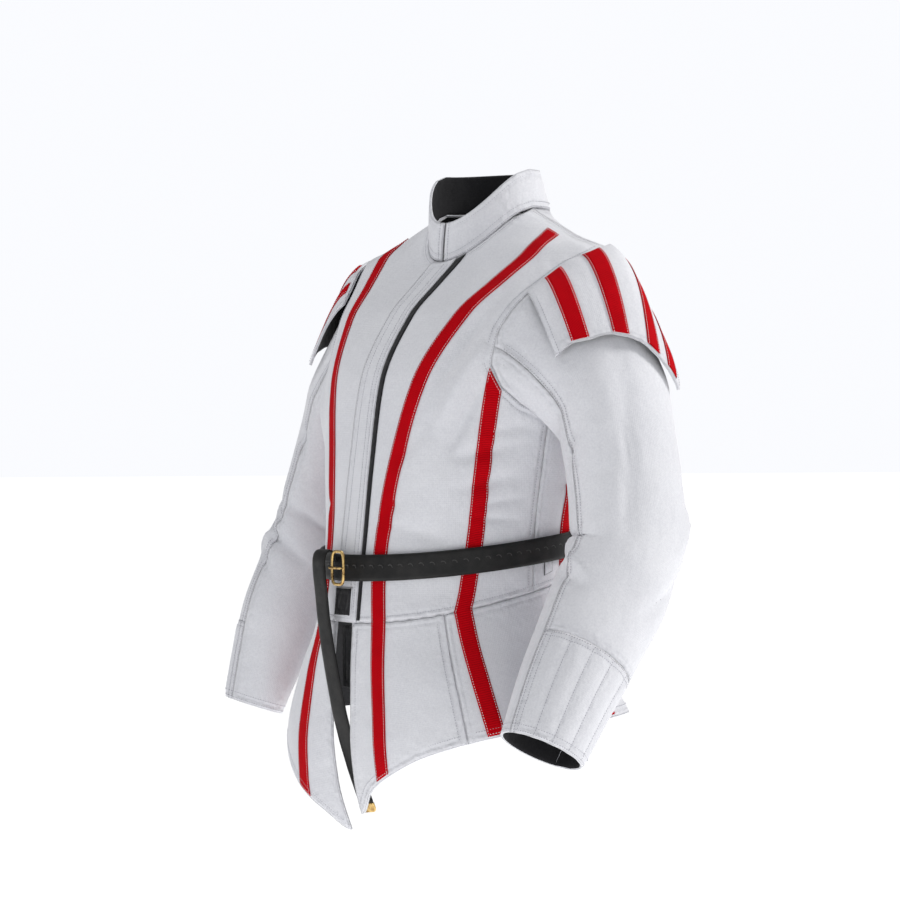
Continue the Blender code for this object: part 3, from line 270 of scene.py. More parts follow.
@dataclass
class Net:
    """A net of points on a surface: rows by lines, with its outward directions and its map.

    Args:
        points: Rows by lines by three.
        normals: Outward directions there.
        along: Distance across the panel, for the map and the seams.
        down: Distance up or down the panel.
    """

    points: Array
    normals: Array
    along: Array | None = None
    down: Array | None = None

    def __post_init__(self) -> None:
        """Measure the net where no distances are given."""
        if self.along is None:
            step = np.linalg.norm(np.diff(self.points, axis=1), axis=-1)
            self.along = np.concatenate([np.zeros((len(step), 1)), np.cumsum(step, 1)], 1)
        if self.down is None:
            step = np.linalg.norm(np.diff(self.points, axis=0), axis=-1)
            first = np.zeros((1, step.shape[1]))
            self.down = np.concatenate([first, np.cumsum(step, 0)], 0)

    def part(self, rows: slice | list, lines: slice | list) -> "Net":
        """Part of the net by rows and lines, measured afresh."""
        return Net(self.points[rows][:, lines], self.normals[rows][:, lines])

    def lifted(self, height: float) -> Array:
        """Points moved out by a height."""
        return self.points + self.normals * height


def joined(nets: Sequence[Net], axis: int = 1) -> Net:
    """Set nets side by side (1) or one above the other (0)."""
    return Net(np.concatenate([n.points for n in nets], axis),
               np.concatenate([n.normals for n in nets], axis))


def cut(net: Net, low: float, high: float) -> Net:
    """Rows of a net between two fractional row numbers."""
    inside = [j for j in range(len(net.points)) if low + 0.05 < j < high - 0.05]
    marks = np.array([low] + inside + [high], float)
    j = np.minimum(marks.astype(int), len(net.points) - 2)
    w = (marks - j)[:, None, None]
    points = net.points[j] * (1 - w) + net.points[j + 1] * w
    return Net(points, unit(net.normals[j] * (1 - w) + net.normals[j + 1] * w))


@dataclass
class Torso:
    """The body's form: level sections, armholes, waist and skirt.

    Args:
        seam: Half of the gap between neighbouring panels.
        tip: Height of the shoulder tip.
        armpit: Height of the armpit.
        waist: Height and slope of the waist seam.
        neck_front: Depth of the neck's front.
        neck_back: Rise of the neck's back.
        neck_half: Half width of the neck opening.
    """

    seam: float = 0.00015
    tip: float = -0.055
    armpit: float = -0.252
    waist: tuple[float, float] = (-0.441, 0.23)
    neck_front: float = -0.064
    neck_back: float = 0.004
    neck_half: float = 0.0765

    def __post_init__(self) -> None:
        """Work out the sections once, at even levels."""
        rings = np.array(RINGS)[::-1]
        self.levels = np.linspace(-0.770, 0.012, 600)
        read = [curve(self.levels, rings[:, 0], rings[:, k]) for k in range(1, 8)]
        self.middle, self.turn = read[3], np.radians(read[6])
        t = np.linspace(0, math.pi / 2, 121)
        self.length, self.across, self.ahead = {}, {}, {}
        for half, reach, square in ((Half.FRONT, read[1], read[4]), (Half.BACK, read[2], read[5])):
            x = read[0][:, None] * np.sin(t) ** (2 / square)[:, None]
            y = (reach - read[3])[:, None] * np.clip(np.cos(t), 0, 1) ** (2 / square)[:, None]
            arc = np.cumsum(np.hypot(np.diff(x), np.diff(y)), 1)
            arc = np.concatenate([np.zeros((len(arc), 1)), arc], 1)
            share = np.linspace(0, 1, 161)
            self.length[half] = arc[:, -1]
            self.across[half] = np.array([np.interp(share * a[-1], a, r) for a, r in zip(arc, x)])
            self.ahead[half] = np.array([np.interp(share * a[-1], a, r) for a, r in zip(arc, y)])

    def arc(self, half: Half, z: Array | float) -> Array:
        """Length of a quarter section at a height."""
        return np.interp(z, self.levels, self.length[half])

    def point(self, side: int, half: Half, along: Array, z: Array) -> Array:
        """Point of the plain body at a distance along its level section."""
        along, z = np.broadcast_arrays(np.asarray(along, float), np.asarray(z, float))
        at = np.clip((z - self.levels[0]) / (self.levels[1] - self.levels[0]), 0, 598.999)
        j = at.astype(int)
        w = at - j
        s = np.clip(along / self.arc(half, z), 0, 1) * 160
        k = np.minimum(s.astype(int), 159)
        u = s - k
        found = []
        for table in (self.across[half], self.ahead[half]):
            low = table[j, k] * (1 - u) + table[j, k + 1] * u
            high = table[j + 1, k] * (1 - u) + table[j + 1, k + 1] * u
            found.append(low * (1 - w) + high * w)
        x, y = side * found[0], found[1]
        middle = np.interp(z, self.levels, self.middle)
        turn = np.interp(z, self.levels, self.turn)
        c, s = np.cos(turn), np.sin(turn)
        return np.stack([x * c - y * s, middle + x * s + y * c, z], -1)

    def way(self, side: int, half: Half, along: Array, z: Array) -> Array:
        """Outward direction of the plain body."""
        full = self.arc(half, z)
        lo, hi = np.maximum(along - 0.002, 0.0), np.minimum(along + 0.002, full)
        share = along / full
        across = self.point(side, half, hi, z) - self.point(side, half, lo, z)
        up = (self.point(side, half, share * self.arc(half, z + 0.002), z + 0.002)
              - self.point(side, half, share * self.arc(half, z - 0.002), z - 0.002))
        return unit(np.cross(across, up) * (1 if half is Half.FRONT else -1) * side)

    def creases(self, side: int, half: Half, along: Array, z: Array) -> Array:
        """Height of the creases at places of the pattern."""
        total = np.zeros(np.broadcast(along, z).shape)
        for row_side, row_half, a0, z0, a1, z1, depth, width in BODY_CREASES:
            if row_side == side and row_half == half.value:
                run = np.array([a1 - a0, z1 - z0])
                da, dz = along - a0, z - z0
                u = np.clip((da * run[0] + dz * run[1]) / (run @ run), 0, 1)
                gap = np.hypot(da - u * run[0], dz - u * run[1])
                sharp = 0.8 * np.exp(-(gap / width) ** 2) + 1.4 * np.exp(-(gap / (0.40 * width)) ** 2)
                total += depth * np.sin(np.pi * (0.15 + 0.7 * u)) * sharp
        return total

    def skin(self, side: int, half: Half, along: Array, z: Array) -> tuple[Array, Array]:
        """Outer face of the body with its creases, and its outward direction."""
        way = self.way(side, half, along, z)
        other = Half.BACK if half is Half.FRONT else Half.FRONT
        at_side = (along > self.arc(half, z) - 2 * self.seam - 1e-6)[..., None]
        twin = self.way(side, other, self.arc(other, z), z)
        way = np.where(at_side, unit(way + twin), way)
        height = self.creases(side, half, along, z)[..., None]
        return self.point(side, half, along, z) + way * height, way

    def level(self, side: int, half: Half, share: Array, height: float, slope: float) -> Array:
        """Height of a sloping cut through the body at a share of the quarter."""
        z = np.full(np.shape(share), height)
        for _ in range(5):
            z = height + slope * self.point(side, half, share * self.arc(half, z), z)[..., 1]
        return z

    def seam_height(self, side: int, half: Half, share: Array) -> Array:
        """Height of the waist seam."""
        return self.level(side, half, share, *self.waist)

    def armhole(self, half: Half, f: Array) -> tuple[Array, Array]:
        """Pattern place on the armhole, 0 at the shoulder tip to 1 at the armpit."""
        z = self.tip + np.asarray(f, float) ** 1.5 * (self.armpit - self.tip)
        rows = np.array(ARMHOLE)[::-1]
        inset = curve(z, rows[:, 0], rows[:, 1 if half is Half.FRONT else 2])
        return self.arc(half, z) - inset, z

    def top(self, half: Half, edge: str, f: float) -> tuple[float, float]:
        """Pattern place on a panel's top edge."""
        if edge == "arm":
            along, z = self.armhole(half, f)
            return float(along), float(z)
        if edge == "shoulder":
            return float(self.arc(half, f * self.tip)), f * self.tip
        front = self.neck_front * (1 - f ** 2.2)
        z = front if half is Half.FRONT else self.neck_back * (1 - f ** 2)
        full = float(self.arc(half, z))
        if f == 1.0:
            return full, z
        x = self.point(1, half, np.linspace(0, full, 400), np.full(400, z))
        turn = float(np.interp(z, self.levels, self.turn))
        middle = float(np.interp(z, self.levels, self.middle))
        flat = x[:, 0] * math.cos(turn) + (x[:, 1] - middle) * math.sin(turn)
        return float(np.interp(f * self.neck_half, flat, np.linspace(0, full, 400))), z

    def lines(self, half: Half) -> Table:
        """Table of the panel's lines."""
        return FRONT_LINES if half is Half.FRONT else BACK_LINES

    def line(self, side: int, half: Half, row: tuple, v: Array) -> tuple[Array, Array]:
        """Pattern places on a line from the waist (0) to the panel's top edge (1)."""
        at_waist, edge, f, bow, bend = row
        z0, share = self.waist[0], 1.0
        for _ in range(4):
            share = 1.0 if at_waist == 1.0 else at_waist / float(self.arc(half, z0))
            z0 = float(self.seam_height(side, half, share))
        a0 = share * float(self.arc(half, z0))
        a1, z1 = self.top(half, edge, f)
        z = z0 + v * (z1 - z0)
        if at_waist == 1.0:
            return self.arc(half, z), z
        if at_waist == 0.0:
            return np.zeros_like(z), z
        swing = bow * 6.75 * v * (1 - v) ** 2 + bend * 1.05 * v ** 1.2 * (1 - v ** 40)
        return a0 + v * (a1 - a0) + swing, z

    def panel(self, side: int, half: Half, rows: int, fine: int) -> Net:
        """Outer face of one side's front or back, waist row first, centre line first.

        Args:
            side: 1 left, -1 right.
            half: Front or back.
            rows: Steps up the panel.
            fine: Steps between neighbouring lines of the table.

        Returns:
            The net, with pattern distances as its map.
        """
        v = np.linspace(0, 1, rows + 1)
        found = [self.line(side, half, row, v) for row in self.lines(half)]
        along = np.stack([a for a, _ in found], 1)
        z = np.stack([b for _, b in found], 1)
        along[:, -1] -= self.seam
        if half is Half.FRONT:
            along[:, 0] += self.seam
        along, z = refined(along, fine, 1), refined(z, fine, 1)
        start = {"neck": 0.0, "shoulder": 1.0, "arm": 2.0}
        nodes = [start[edge] + f for _, edge, f, _, _ in self.lines(half)]
        ends = np.interp(np.arange(along.shape[1]) / fine, np.arange(len(nodes)), nodes)
        for k in np.flatnonzero(ends < 2.0):
            edge = "neck" if ends[k] <= 1.0 else "shoulder"
            to_along, to_z = self.top(half, edge, float(ends[k] - start[edge]))
            if k > 0:
                along[:, k] += (to_along - along[-1, k]) * v ** 6
            z[:, k] += (to_z - z[-1, k]) * v ** 6
        points, normals = self.skin(side, half, along, z)
        return Net(points, normals, along, z)

    def place_at_waist(self, name: str) -> float:
        """Place round the side, 0 front to 2 back, at which a body line meets the waist."""
        half = Half.BACK if name.startswith("b") else Half.FRONT
        at_waist = self.lines(half)[int(name.lstrip("b"))][0]
        share = at_waist
        for _ in range(0 if at_waist in (0.0, 1.0) else 5):
            height = float(self.seam_height(1, half, min(share, 1.0)))
            share = at_waist / float(self.arc(half, height))
        return share if half is Half.FRONT else 2 - share

    def skirt(self, side: int, lines: Table, rows: int, fine: int) -> Net:
        """Outer face of a skirt panel, waist row first.

        Args:
            side: 1 left, -1 right.
            lines: The panel's lines, at the waist and at the hem.
            rows: Steps down the panel.
            fine: Steps between neighbouring lines.

        Returns:
            The net.
        """
        v = np.linspace(0.002, 1, rows + 1)[:, None]
        start = np.array([self.place_at_waist(name) for name, _ in lines])
        end = np.array([at for _, at in lines])
        place = refined(start + v * (end - start), fine, 1)
        place[:, 0] += self.seam / 0.25
        if place[0, -1] < 1.999:
            place[:, -1] -= self.seam / 0.25
        down = np.broadcast_to(v, place.shape)
        points, normals = np.zeros((*place.shape, 3)), np.zeros((*place.shape, 3))
        for half in Half:
            here = place <= 1 if half is Half.FRONT else place > 1
            if not here.any():
                continue
            at, low = place[here], down[here]
            share = at if half is Half.FRONT else 2 - at
            top = self.seam_height(side, half, share)
            hem = curve(at, [r[0] for r in HEM], [r[1 if side > 0 else 2] for r in HEM])
            z = top + low * (hem - top)
            along = share * self.arc(half, z)
            way = self.way(side, half, along, z)
            height = np.zeros_like(at)
            for spot, left, right, width in FLUTES:
                for twin in ((spot, 4 - spot) if spot > 1.5 else (spot,)):
                    depth = left if side > 0 else right
                    height += depth * np.exp(-((at - twin) / (width * 1.9)) ** 2)
            gather = 0.0007 * np.sin(at * 96 + side) * np.exp(-low * 9) * (low > 0)
            height = height * low ** 1.6 + gather
            points[here] = self.point(side, half, along, z) + way * height[:, None]
            normals[here] = way
        return Net(points, normals)


def facing(points: Array, closed: bool) -> Array:
    """Outward directions over a net, pointing away from the middle of its rows."""
    up = np.gradient(points, axis=0)
    if closed:
        across = (np.roll(points, -1, 1) - np.roll(points, 1, 1)) / 2
    else:
        across = np.gradient(points, axis=1)
    normal = unit(np.cross(across, up))
    out = points - points.mean(axis=1, keepdims=True)
    return -normal if np.sum(normal * out) < 0 else normal


def read_net(net: Array, row: float, line: float) -> Array:
    """Point of a closed net between its rows and lines."""
    j, k = min(int(row), len(net) - 2), math.floor(line)
    wide = net.shape[1]
    u, w = row - j, line - k
    near = net[j, k % wide] * (1 - w) + net[j, (k + 1) % wide] * w
    far = net[j + 1, k % wide] * (1 - w) + net[j + 1, (k + 1) % wide] * w
    return near * (1 - u) + far * u


@dataclass
class SleeveForm:
    """A sleeve from its armhole to its cuff, and the wing over its head.

    Args:
        torso: The body that it is sewn to.
        side: 1 left, -1 right.
        fine: Steps between neighbouring corners of the armhole.
        close: Steps between neighbouring rows of the cap, arm and quilting.
        rows: Rows of the cap, the arm and the quilting.
        quilt_top: Distance down the arm of the quilting's seam.
        cuff: Distance down the arm of the cuff.
        cap: Start of the arm on top and how much lower it is underneath.
        wing_lift: Height of the wing over the sleeve at the armhole and at its hem.
        wing_puff: How much it swells between them.
    """

    torso: Torso
    side: int
    fine: int = 4
    close: int = 4
    rows: tuple[int, int, int] = (5, 11, 6)
    quilt_top: float = 0.338
    cuff: float = 0.450
    cap: tuple[float, float] = (0.020, 0.070)
    wing_lift: tuple[float, float] = (0.0062, 0.0120)
    wing_puff: float = 0.0070

    def __post_init__(self) -> None:
        """Work out the sleeve's outer face once."""
        self.front = [row[2] for row in FRONT_LINES if row[1] == "arm"]
        self.back = [row[2] for row in BACK_LINES if row[1] == "arm"]
        self.count = self.fine * (len(self.front) + len(self.back) - 2)
        loop, body = [], []
        for half, places in ((Half.FRONT, self.front), (Half.BACK, self.back[::-1])):
            found = self.torso.armhole(half, np.array(places))
            along, z = refined(found[0], self.fine), refined(found[1], self.fine)
            points, ways = self.torso.skin(self.side, half, along, z)
            keep = slice(0, None) if half is Half.FRONT else slice(1, -1)
            loop.append(points[keep])
            body.append(ways[keep])
        self.loop, self.body = np.concatenate(loop), np.concatenate(body)
        turn = self.fine * (len(self.front) - 1)
        rest = self.count - turn
        self.angles = np.concatenate([180 * np.arange(turn) / turn,
                                      180 + 180 * np.arange(rest) / rest])
        self.points = self.surface()
        self.ways = facing(self.points, True)
        self.edge = unit(self.body + self.ways[0])

    def arm(self, angle: Array, down: Array) -> Array:
        """Points of the sleeve's outer face below the cap, by angle and distance down."""
        table = np.array(ARM_LEFT if self.side > 0 else ARM_RIGHT)
        angle, down = np.broadcast_arrays(np.asarray(angle, float), np.asarray(down, float))

        def middle(at: Array) -> Array:
            """Middle of the arm."""
            return np.stack([curve(at, table[:, 0], table[:, k]) for k in (1, 2, 3)], -1)

        along = unit(middle(np.minimum(down + 0.01, self.cuff)) - middle(np.maximum(down - 0.01, 0)))
        out = unit(np.array([1.0, 0, 0]) - along[..., :1] * along)
        ahead = np.cross(out, along)
        ahead = ahead * np.where(ahead[..., 1:2] < 0, 1, -1)
        wide, deep = (curve(down, table[:, 0], table[:, k]) for k in (4, 5))
        c, s = np.cos(np.radians(angle)), np.sin(np.radians(angle))
        flat = np.where(c < 0, curve(down, (0.0, 0.14, 0.26, 0.46), (0.78, 0.80, 0.96, 1.0)), 1.0)
        ray = out * (wide * c * flat)[..., None] + ahead * (deep * s)[..., None]
        height = np.zeros(angle.shape)
        for side, a0, d0, a1, d1, depth, width in ARM_CREASES:
            if side != self.side:
                continue
            best = np.zeros(angle.shape)
            run = np.array([(a1 - a0) * 0.00115, d1 - d0])
            for turn in (-360.0, 0.0, 360.0):
                da, dd = (angle + turn - a0) * 0.00115, down - d0
                u = np.clip((da * run[0] + dd * run[1]) / (run @ run), 0, 1)
                gap = np.hypot(da - u * run[0], dd - u * run[1])
                sharp = 0.6 * np.exp(-(gap / width) ** 2) + 1.1 * np.exp(-(gap / (0.40 * width)) ** 2)
                best = np.maximum(best, np.sin(np.pi * (0.15 + 0.7 * u)) * sharp)
            height += depth * best
        point = middle(down) + ray + unit(ray) * height[..., None]
        return point * np.array([self.side, 1, 1])

    def surface(self) -> Array:
        """Outer face of the whole sleeve, rows from the armhole to the cuff."""
        angles = self.angles
        under = 0.5 - 0.5 * np.cos(np.radians(angles))
        ahead = np.sin(np.radians(angles))
        begin = self.cap[0] + self.cap[1] * under ** 1.5
        start = self.arm(angles, begin)
        slope = self.arm(angles, begin + 0.02) - start
        leave = np.stack([np.full_like(under, self.side),
                          np.where(ahead > 0, 0.9, 0.4) * ahead,
                          -0.32 - 0.05 * (1 - under)], -1)
        leave = unit(leave) * (0.080 - 0.040 * under)[:, None]
        arrive = unit(slope) * (0.095 - 0.065 * under)[:, None]
        rows = []
        for v in np.arange(self.rows[0] * self.close) / (self.rows[0] * self.close):
            h00, h10 = (1 + 2 * v) * (1 - v) ** 2, v * (1 - v) ** 2
            h01, h11 = v * v * (3 - 2 * v), v * v * (v - 1)
            rows.append(h00 * self.loop + h10 * leave + h01 * start + h11 * arrive)
        for share in np.linspace(0, 1, self.rows[1] * self.close + 1):
            rows.append(self.arm(angles, begin + share * (self.quilt_top - begin)))
        for share in np.linspace(0, 1, self.rows[2] * self.close + 1)[1:]:
            rows.append(self.arm(angles, self.quilt_top + share * (self.cuff - self.quilt_top)))
        points = np.array(rows)
        ways = facing(points, True)
        step = np.linalg.norm(np.diff(points, axis=0), axis=-1)
        down = np.concatenate([np.zeros((1, self.count)), np.cumsum(step, 0)], 0)
        height = np.zeros_like(down)
        for angle, depth, reach in self.pleats():
            gap = (angles - angle + 180) % 360 - 180
            bell = down / reach * np.exp(1 - down / reach)
            height -= depth * np.exp(-(gap / 3.4) ** 2)[None, :] * bell
        return points + ways * height[..., None]

    def pleats(self) -> Table:
        """Pleats of the sleeve's head: angle, depth and reach down the sleeve."""
        return ((54.0, 0.0022, 0.018), (69.0, 0.0030, 0.024), (84.0, 0.0036, 0.026),
                (99.0, 0.0032, 0.022), (114.0, 0.0022, 0.016), (-62.0, 0.0022, 0.018),
                (-80.0, 0.0026, 0.020), (-98.0, 0.0022, 0.016))

    def net(self, rows: tuple[int, int | None], lines: tuple[int, int], raised: float = 0.0) -> Net:
        """Part of the sleeve by rows of the cap, arm and quilting and by corners of the armhole.

        Args:
            rows: First and last row, before they are made finer.
            lines: First and last corner, counted in halves, -8 to 7 on top.
            raised: Height of the quilted channels.

        Returns:
            The net.
        """
        first = rows[0] * self.close
        last = (len(self.points) - 1) if rows[1] is None else rows[1] * self.close
        half = self.fine // 2
        marks = np.arange(lines[0] * half, lines[1] * half + 1)
        keep = marks % self.count
        points = self.points[first:last + 1][:, keep].copy()
        ways = self.ways[first:last + 1][:, keep].copy()
        if raised:
            at = (marks - marks[0]) / half
            ridge = np.abs(np.sin(np.pi * at / 2)) ** 0.8 * np.clip((at[-1] - at) / 0.6, 0, 1)
            down = np.linspace(0, 1, len(points))
            fade = np.clip(np.minimum(down, 1 - down) / 0.10, 0, 1)
            pucker = 1 + 0.16 * np.sin(down * 61)[:, None] * np.sin(np.pi * at)[None, :]
            points += ways * (fade[:, None] * ridge[None, :] * pucker * raised)[..., None]
            ways = facing_open(points, ways)
        return Net(points, ways)

    def line_at(self, half: str, f: float) -> float:
        """Line of the sleeve that starts at a place on the armhole, in halves of a corner."""
        if half == "front":
            return 2 * float(np.interp(f, self.front, range(len(self.front))))
        places = self.back[:-1]
        return -2 * float(np.interp(f, places, range(len(places))))

    def wing(self, close: int = 6, fine: int = 4) -> Net:
        """Outer face of the shoulder wing, from the armhole to its hem."""
        half = self.fine / 2
        table = []
        for angle, height, part, f in WING_LINES:
            last = angle * (14 if angle >= 0 else 12) / 180
            marks = np.linspace(0, 12, 121)
            heights = [read_net(self.points, m * self.close, last * half)[2] for m in marks]
            low = float(np.interp(-height, -np.array(heights), marks))
            table.append((self.line_at(part, f), last, low))
        table = refined(np.array(table), fine)
        ways = self.ways.copy()
        ways[0] = self.edge
        points, normals = [], []
        for v in np.linspace(0, 1, 7 * close + 1):
            row_points, row_ways = [], []
            for first, last, low in table:
                row, at = v * low * self.close, (first + v * (last - first)) * half
                way = unit(read_net(ways, row, at))
                lift = self.wing_lift[0] + v * (self.wing_lift[1] - self.wing_lift[0])
                lift += self.wing_puff * math.sin(math.pi * v ** 0.8)
                row_points.append(read_net(self.points, row, at) + way * lift)
                row_ways.append(way)
            points.append(row_points)
            normals.append(row_ways)
        return Net(np.array(points), np.array(normals))


def facing_open(points: Array, like: Array) -> Array:
    """Outward directions of an open net, on the same side as given ones."""
    normal = unit(np.cross(np.gradient(points, axis=1), np.gradient(points, axis=0)))
    return normal * np.where(np.sum(normal * like, -1, keepdims=True) < 0, -1.0, 1.0)


class Rim(Enum):
    """Edges of a net."""

    FIRST_LINE = "first line"
    LAST_LINE = "last line"
    FIRST_ROW = "first row"
    LAST_ROW = "last row"


def rim_of(net: Net, rim: Rim) -> tuple[Array, Array, Array]:
    """Points of one edge, the outward directions there, and those into the panel."""
    if rim in (Rim.FIRST_LINE, Rim.LAST_LINE):
        k, n = (0, 1) if rim is Rim.FIRST_LINE else (-1, -2)
        points, ways, inside = net.points[:, k], net.normals[:, k], net.points[:, n]
    else:
        k, n = (0, 1) if rim is Rim.FIRST_ROW else (-1, -2)
        points, ways, inside = net.points[k], net.normals[k], net.points[n]
    run = np.gradient(points, axis=0)
    into = unit(np.cross(ways, run))
    return points, ways, into * np.where(np.sum(into * (inside - points), -1) < 0, -1, 1)[:, None]


def sewn(net: Net, rim: Rim, inward: float, lift: float = 0.0001) -> Array:
    """Line of sewing beside an edge.

    Args:
        net: The panel.
        rim: Which edge.
        inward: Distance from the edge.
        lift: Height over the cloth.

    Returns:
        The line's points.
    """
    points, ways, into = rim_of(net, rim)
    return points + into * inward + ways * lift


def rim_distance(net: Net, rims: Sequence[Rim]) -> Array:
    """Distance of every point of a net to its nearest sewn edge, up to 30 mm."""
    flat = net.points.reshape(-1, 3)
    best = np.full(len(flat), 0.03)
    for rim in rims:
        line = refined(rim_of(net, rim)[0], 4)
        for start in range(0, len(flat), 2000):
            block = flat[start:start + 2000]
            gap = np.linalg.norm(block[:, None] - line[None], axis=-1).min(1)
            best[start:start + 2000] = np.minimum(best[start:start + 2000], gap)
    return best


def tree_of(name: str) -> tuple[bpy.types.Material, bpy.types.NodeTree, bpy.types.Node]:
    """New material with its tree and its shader."""
    material = bpy.data.materials.new(name)
    material.use_nodes = True
    tree = material.node_tree
    return material, tree, tree.nodes["Principled BSDF"]


def maths(tree: bpy.types.NodeTree, kind: str, *values: object) -> bpy.types.NodeSocket:
    """Add a Math node and return its result; each value is a number or a socket."""
    node = tree.nodes.new("ShaderNodeMath")
    node.operation = kind
    for k, value in enumerate(values):
        if isinstance(value, (int, float)):
            node.inputs[k].default_value = value
        else:
            tree.links.new(value, node.inputs[k])
    return node.outputs[0]


def noise(tree: bpy.types.NodeTree, place: bpy.types.NodeSocket, scale: float,
          detail: float = 3.0) -> bpy.types.NodeSocket:
    """Add a Noise texture and return its value."""
    node = tree.nodes.new("ShaderNodeTexNoise")
    node.inputs["Scale"].default_value = scale
    node.inputs["Detail"].default_value = detail
    tree.links.new(place, node.inputs["Vector"])
    return node.outputs["Fac"]


def ramp(tree: bpy.types.NodeTree, value: bpy.types.NodeSocket,
         stops: Sequence[tuple[float, tuple[float, float, float]]]) -> bpy.types.NodeSocket:
    """Add a colour ramp with stops of place and colour."""
    node = tree.nodes.new("ShaderNodeValToRGB")
    while len(node.color_ramp.elements) < len(stops):
        node.color_ramp.elements.new(0.5)
    for element, (place, colour) in zip(node.color_ramp.elements, stops):
        element.position = place
        element.color = (*colour, 1.0)
    tree.links.new(value, node.inputs["Fac"])
    return node.outputs["Color"]


def relief(tree: bpy.types.NodeTree, shader: bpy.types.Node, height: bpy.types.NodeSocket,
           depth: float) -> None:
    """Drive the shader's normal from a height in metres times depth."""
    node = tree.nodes.new("ShaderNodeBump")
    node.inputs["Strength"].default_value = 1.0
    node.inputs["Distance"].default_value = depth
    tree.links.new(height, node.inputs["Height"])
    tree.links.new(node.outputs["Normal"], shader.inputs["Normal"])


@dataclass(frozen=True)
class Cloth:
    """Close-woven cloth with rounded, sewn edges.

    Args:
        name: The finish.
        colour: Its colour.
        shade: Darker colour of its random mottle, also painted as shade in the grooves beside sewn edges and
            quilting lines.
        rough: Roughness.
        sheen: Strength of its nap.
        thread: Threads per metre in the weave.
        weave: Height of the weave.
        seam: Height of the groove beside a sewn edge.
    """

    name: str
    colour: tuple[float, float, float]
    shade: tuple[float, float, float]
    rough: float = 0.82
    sheen: float = 0.25
    thread: float = 900.0
    weave: float = 0.00012
    seam: float = 0.0011

    def material(self) -> bpy.types.Material:
        """Make the finish."""
        material, tree, shader = tree_of(self.name)
        shader.inputs["Roughness"].default_value = self.rough
        shader.inputs["Sheen Weight"].default_value = self.sheen
        shader.inputs["Sheen Roughness"].default_value = 0.5
        shader.inputs["Specular IOR Level"].default_value = 0.25
        texture = tree.nodes.new("ShaderNodeTexCoord")
        place = texture.outputs["Object"]
        uv = tree.nodes.new("ShaderNodeUVMap")
        uv.uv_map = "cloth"
        waves = []
        for direction in ("X", "Y"):
            wave = tree.nodes.new("ShaderNodeTexWave")
            wave.bands_direction = direction
            wave.inputs["Scale"].default_value = self.thread / 6.2832
            wave.inputs["Distortion"].default_value = 0.6
            tree.links.new(uv.outputs["UV"], wave.inputs["Vector"])
            waves.append(wave.outputs["Fac"])
        woven = maths(tree, "MULTIPLY", waves[0], waves[1])
        edge = tree.nodes.new("ShaderNodeAttribute")
        edge.attribute_name = "sewn"
        gap = edge.outputs["Fac"]
        share = maths(tree, "DIVIDE", gap, 0.012)
        profile = ramp(tree, share, ((0.0, (0.10,) * 3), (0.10, (0.75,) * 3), (0.30, (0.95,) * 3),
                                     (0.53, (0.38,) * 3), (0.60, (0.38,) * 3), (0.85, (0.92,) * 3),
                                     (1.0, (1.0,) * 3)))
        near = maths(tree, "SUBTRACT", 1.0, maths(tree, "MINIMUM", maths(tree, "DIVIDE", gap, 0.022), 1.0))
        pucker = maths(tree, "MULTIPLY", maths(tree, "SUBTRACT", noise(tree, place, 130.0, 1.0), 0.5),
                       maths(tree, "MULTIPLY", near, 0.00260))
        soft = maths(tree, "MULTIPLY", maths(tree, "SUBTRACT", noise(tree, place, 17.0, 3.0), 0.5),
                     0.0060)
        height = maths(tree, "MULTIPLY", profile, self.seam)
        height = maths(tree, "ADD", height, pucker)
        height = maths(tree, "ADD", height, soft)
        height = maths(tree, "ADD", height, maths(tree, "MULTIPLY", woven, self.weave))
        relief(tree, shader, height, 1.0)
        mottle = maths(tree, "ADD", maths(tree, "MULTIPLY", noise(tree, place, 9.0), 0.5),
                       maths(tree, "MULTIPLY", noise(tree, place, 420.0, 2.0), 0.5))
        # Painted shade: the seam profile darkens the base colour in the grooves beside sewn edges, on top of
        # the random mottle.
        groove = maths(tree, "MULTIPLY", mottle,
                       maths(tree, "ADD", maths(tree, "MULTIPLY", profile, 0.20), 0.80))
        tree.links.new(ramp(tree, groove, ((0.25, self.shade), (0.62, self.colour))),
                       shader.inputs["Base Color"])
        return material


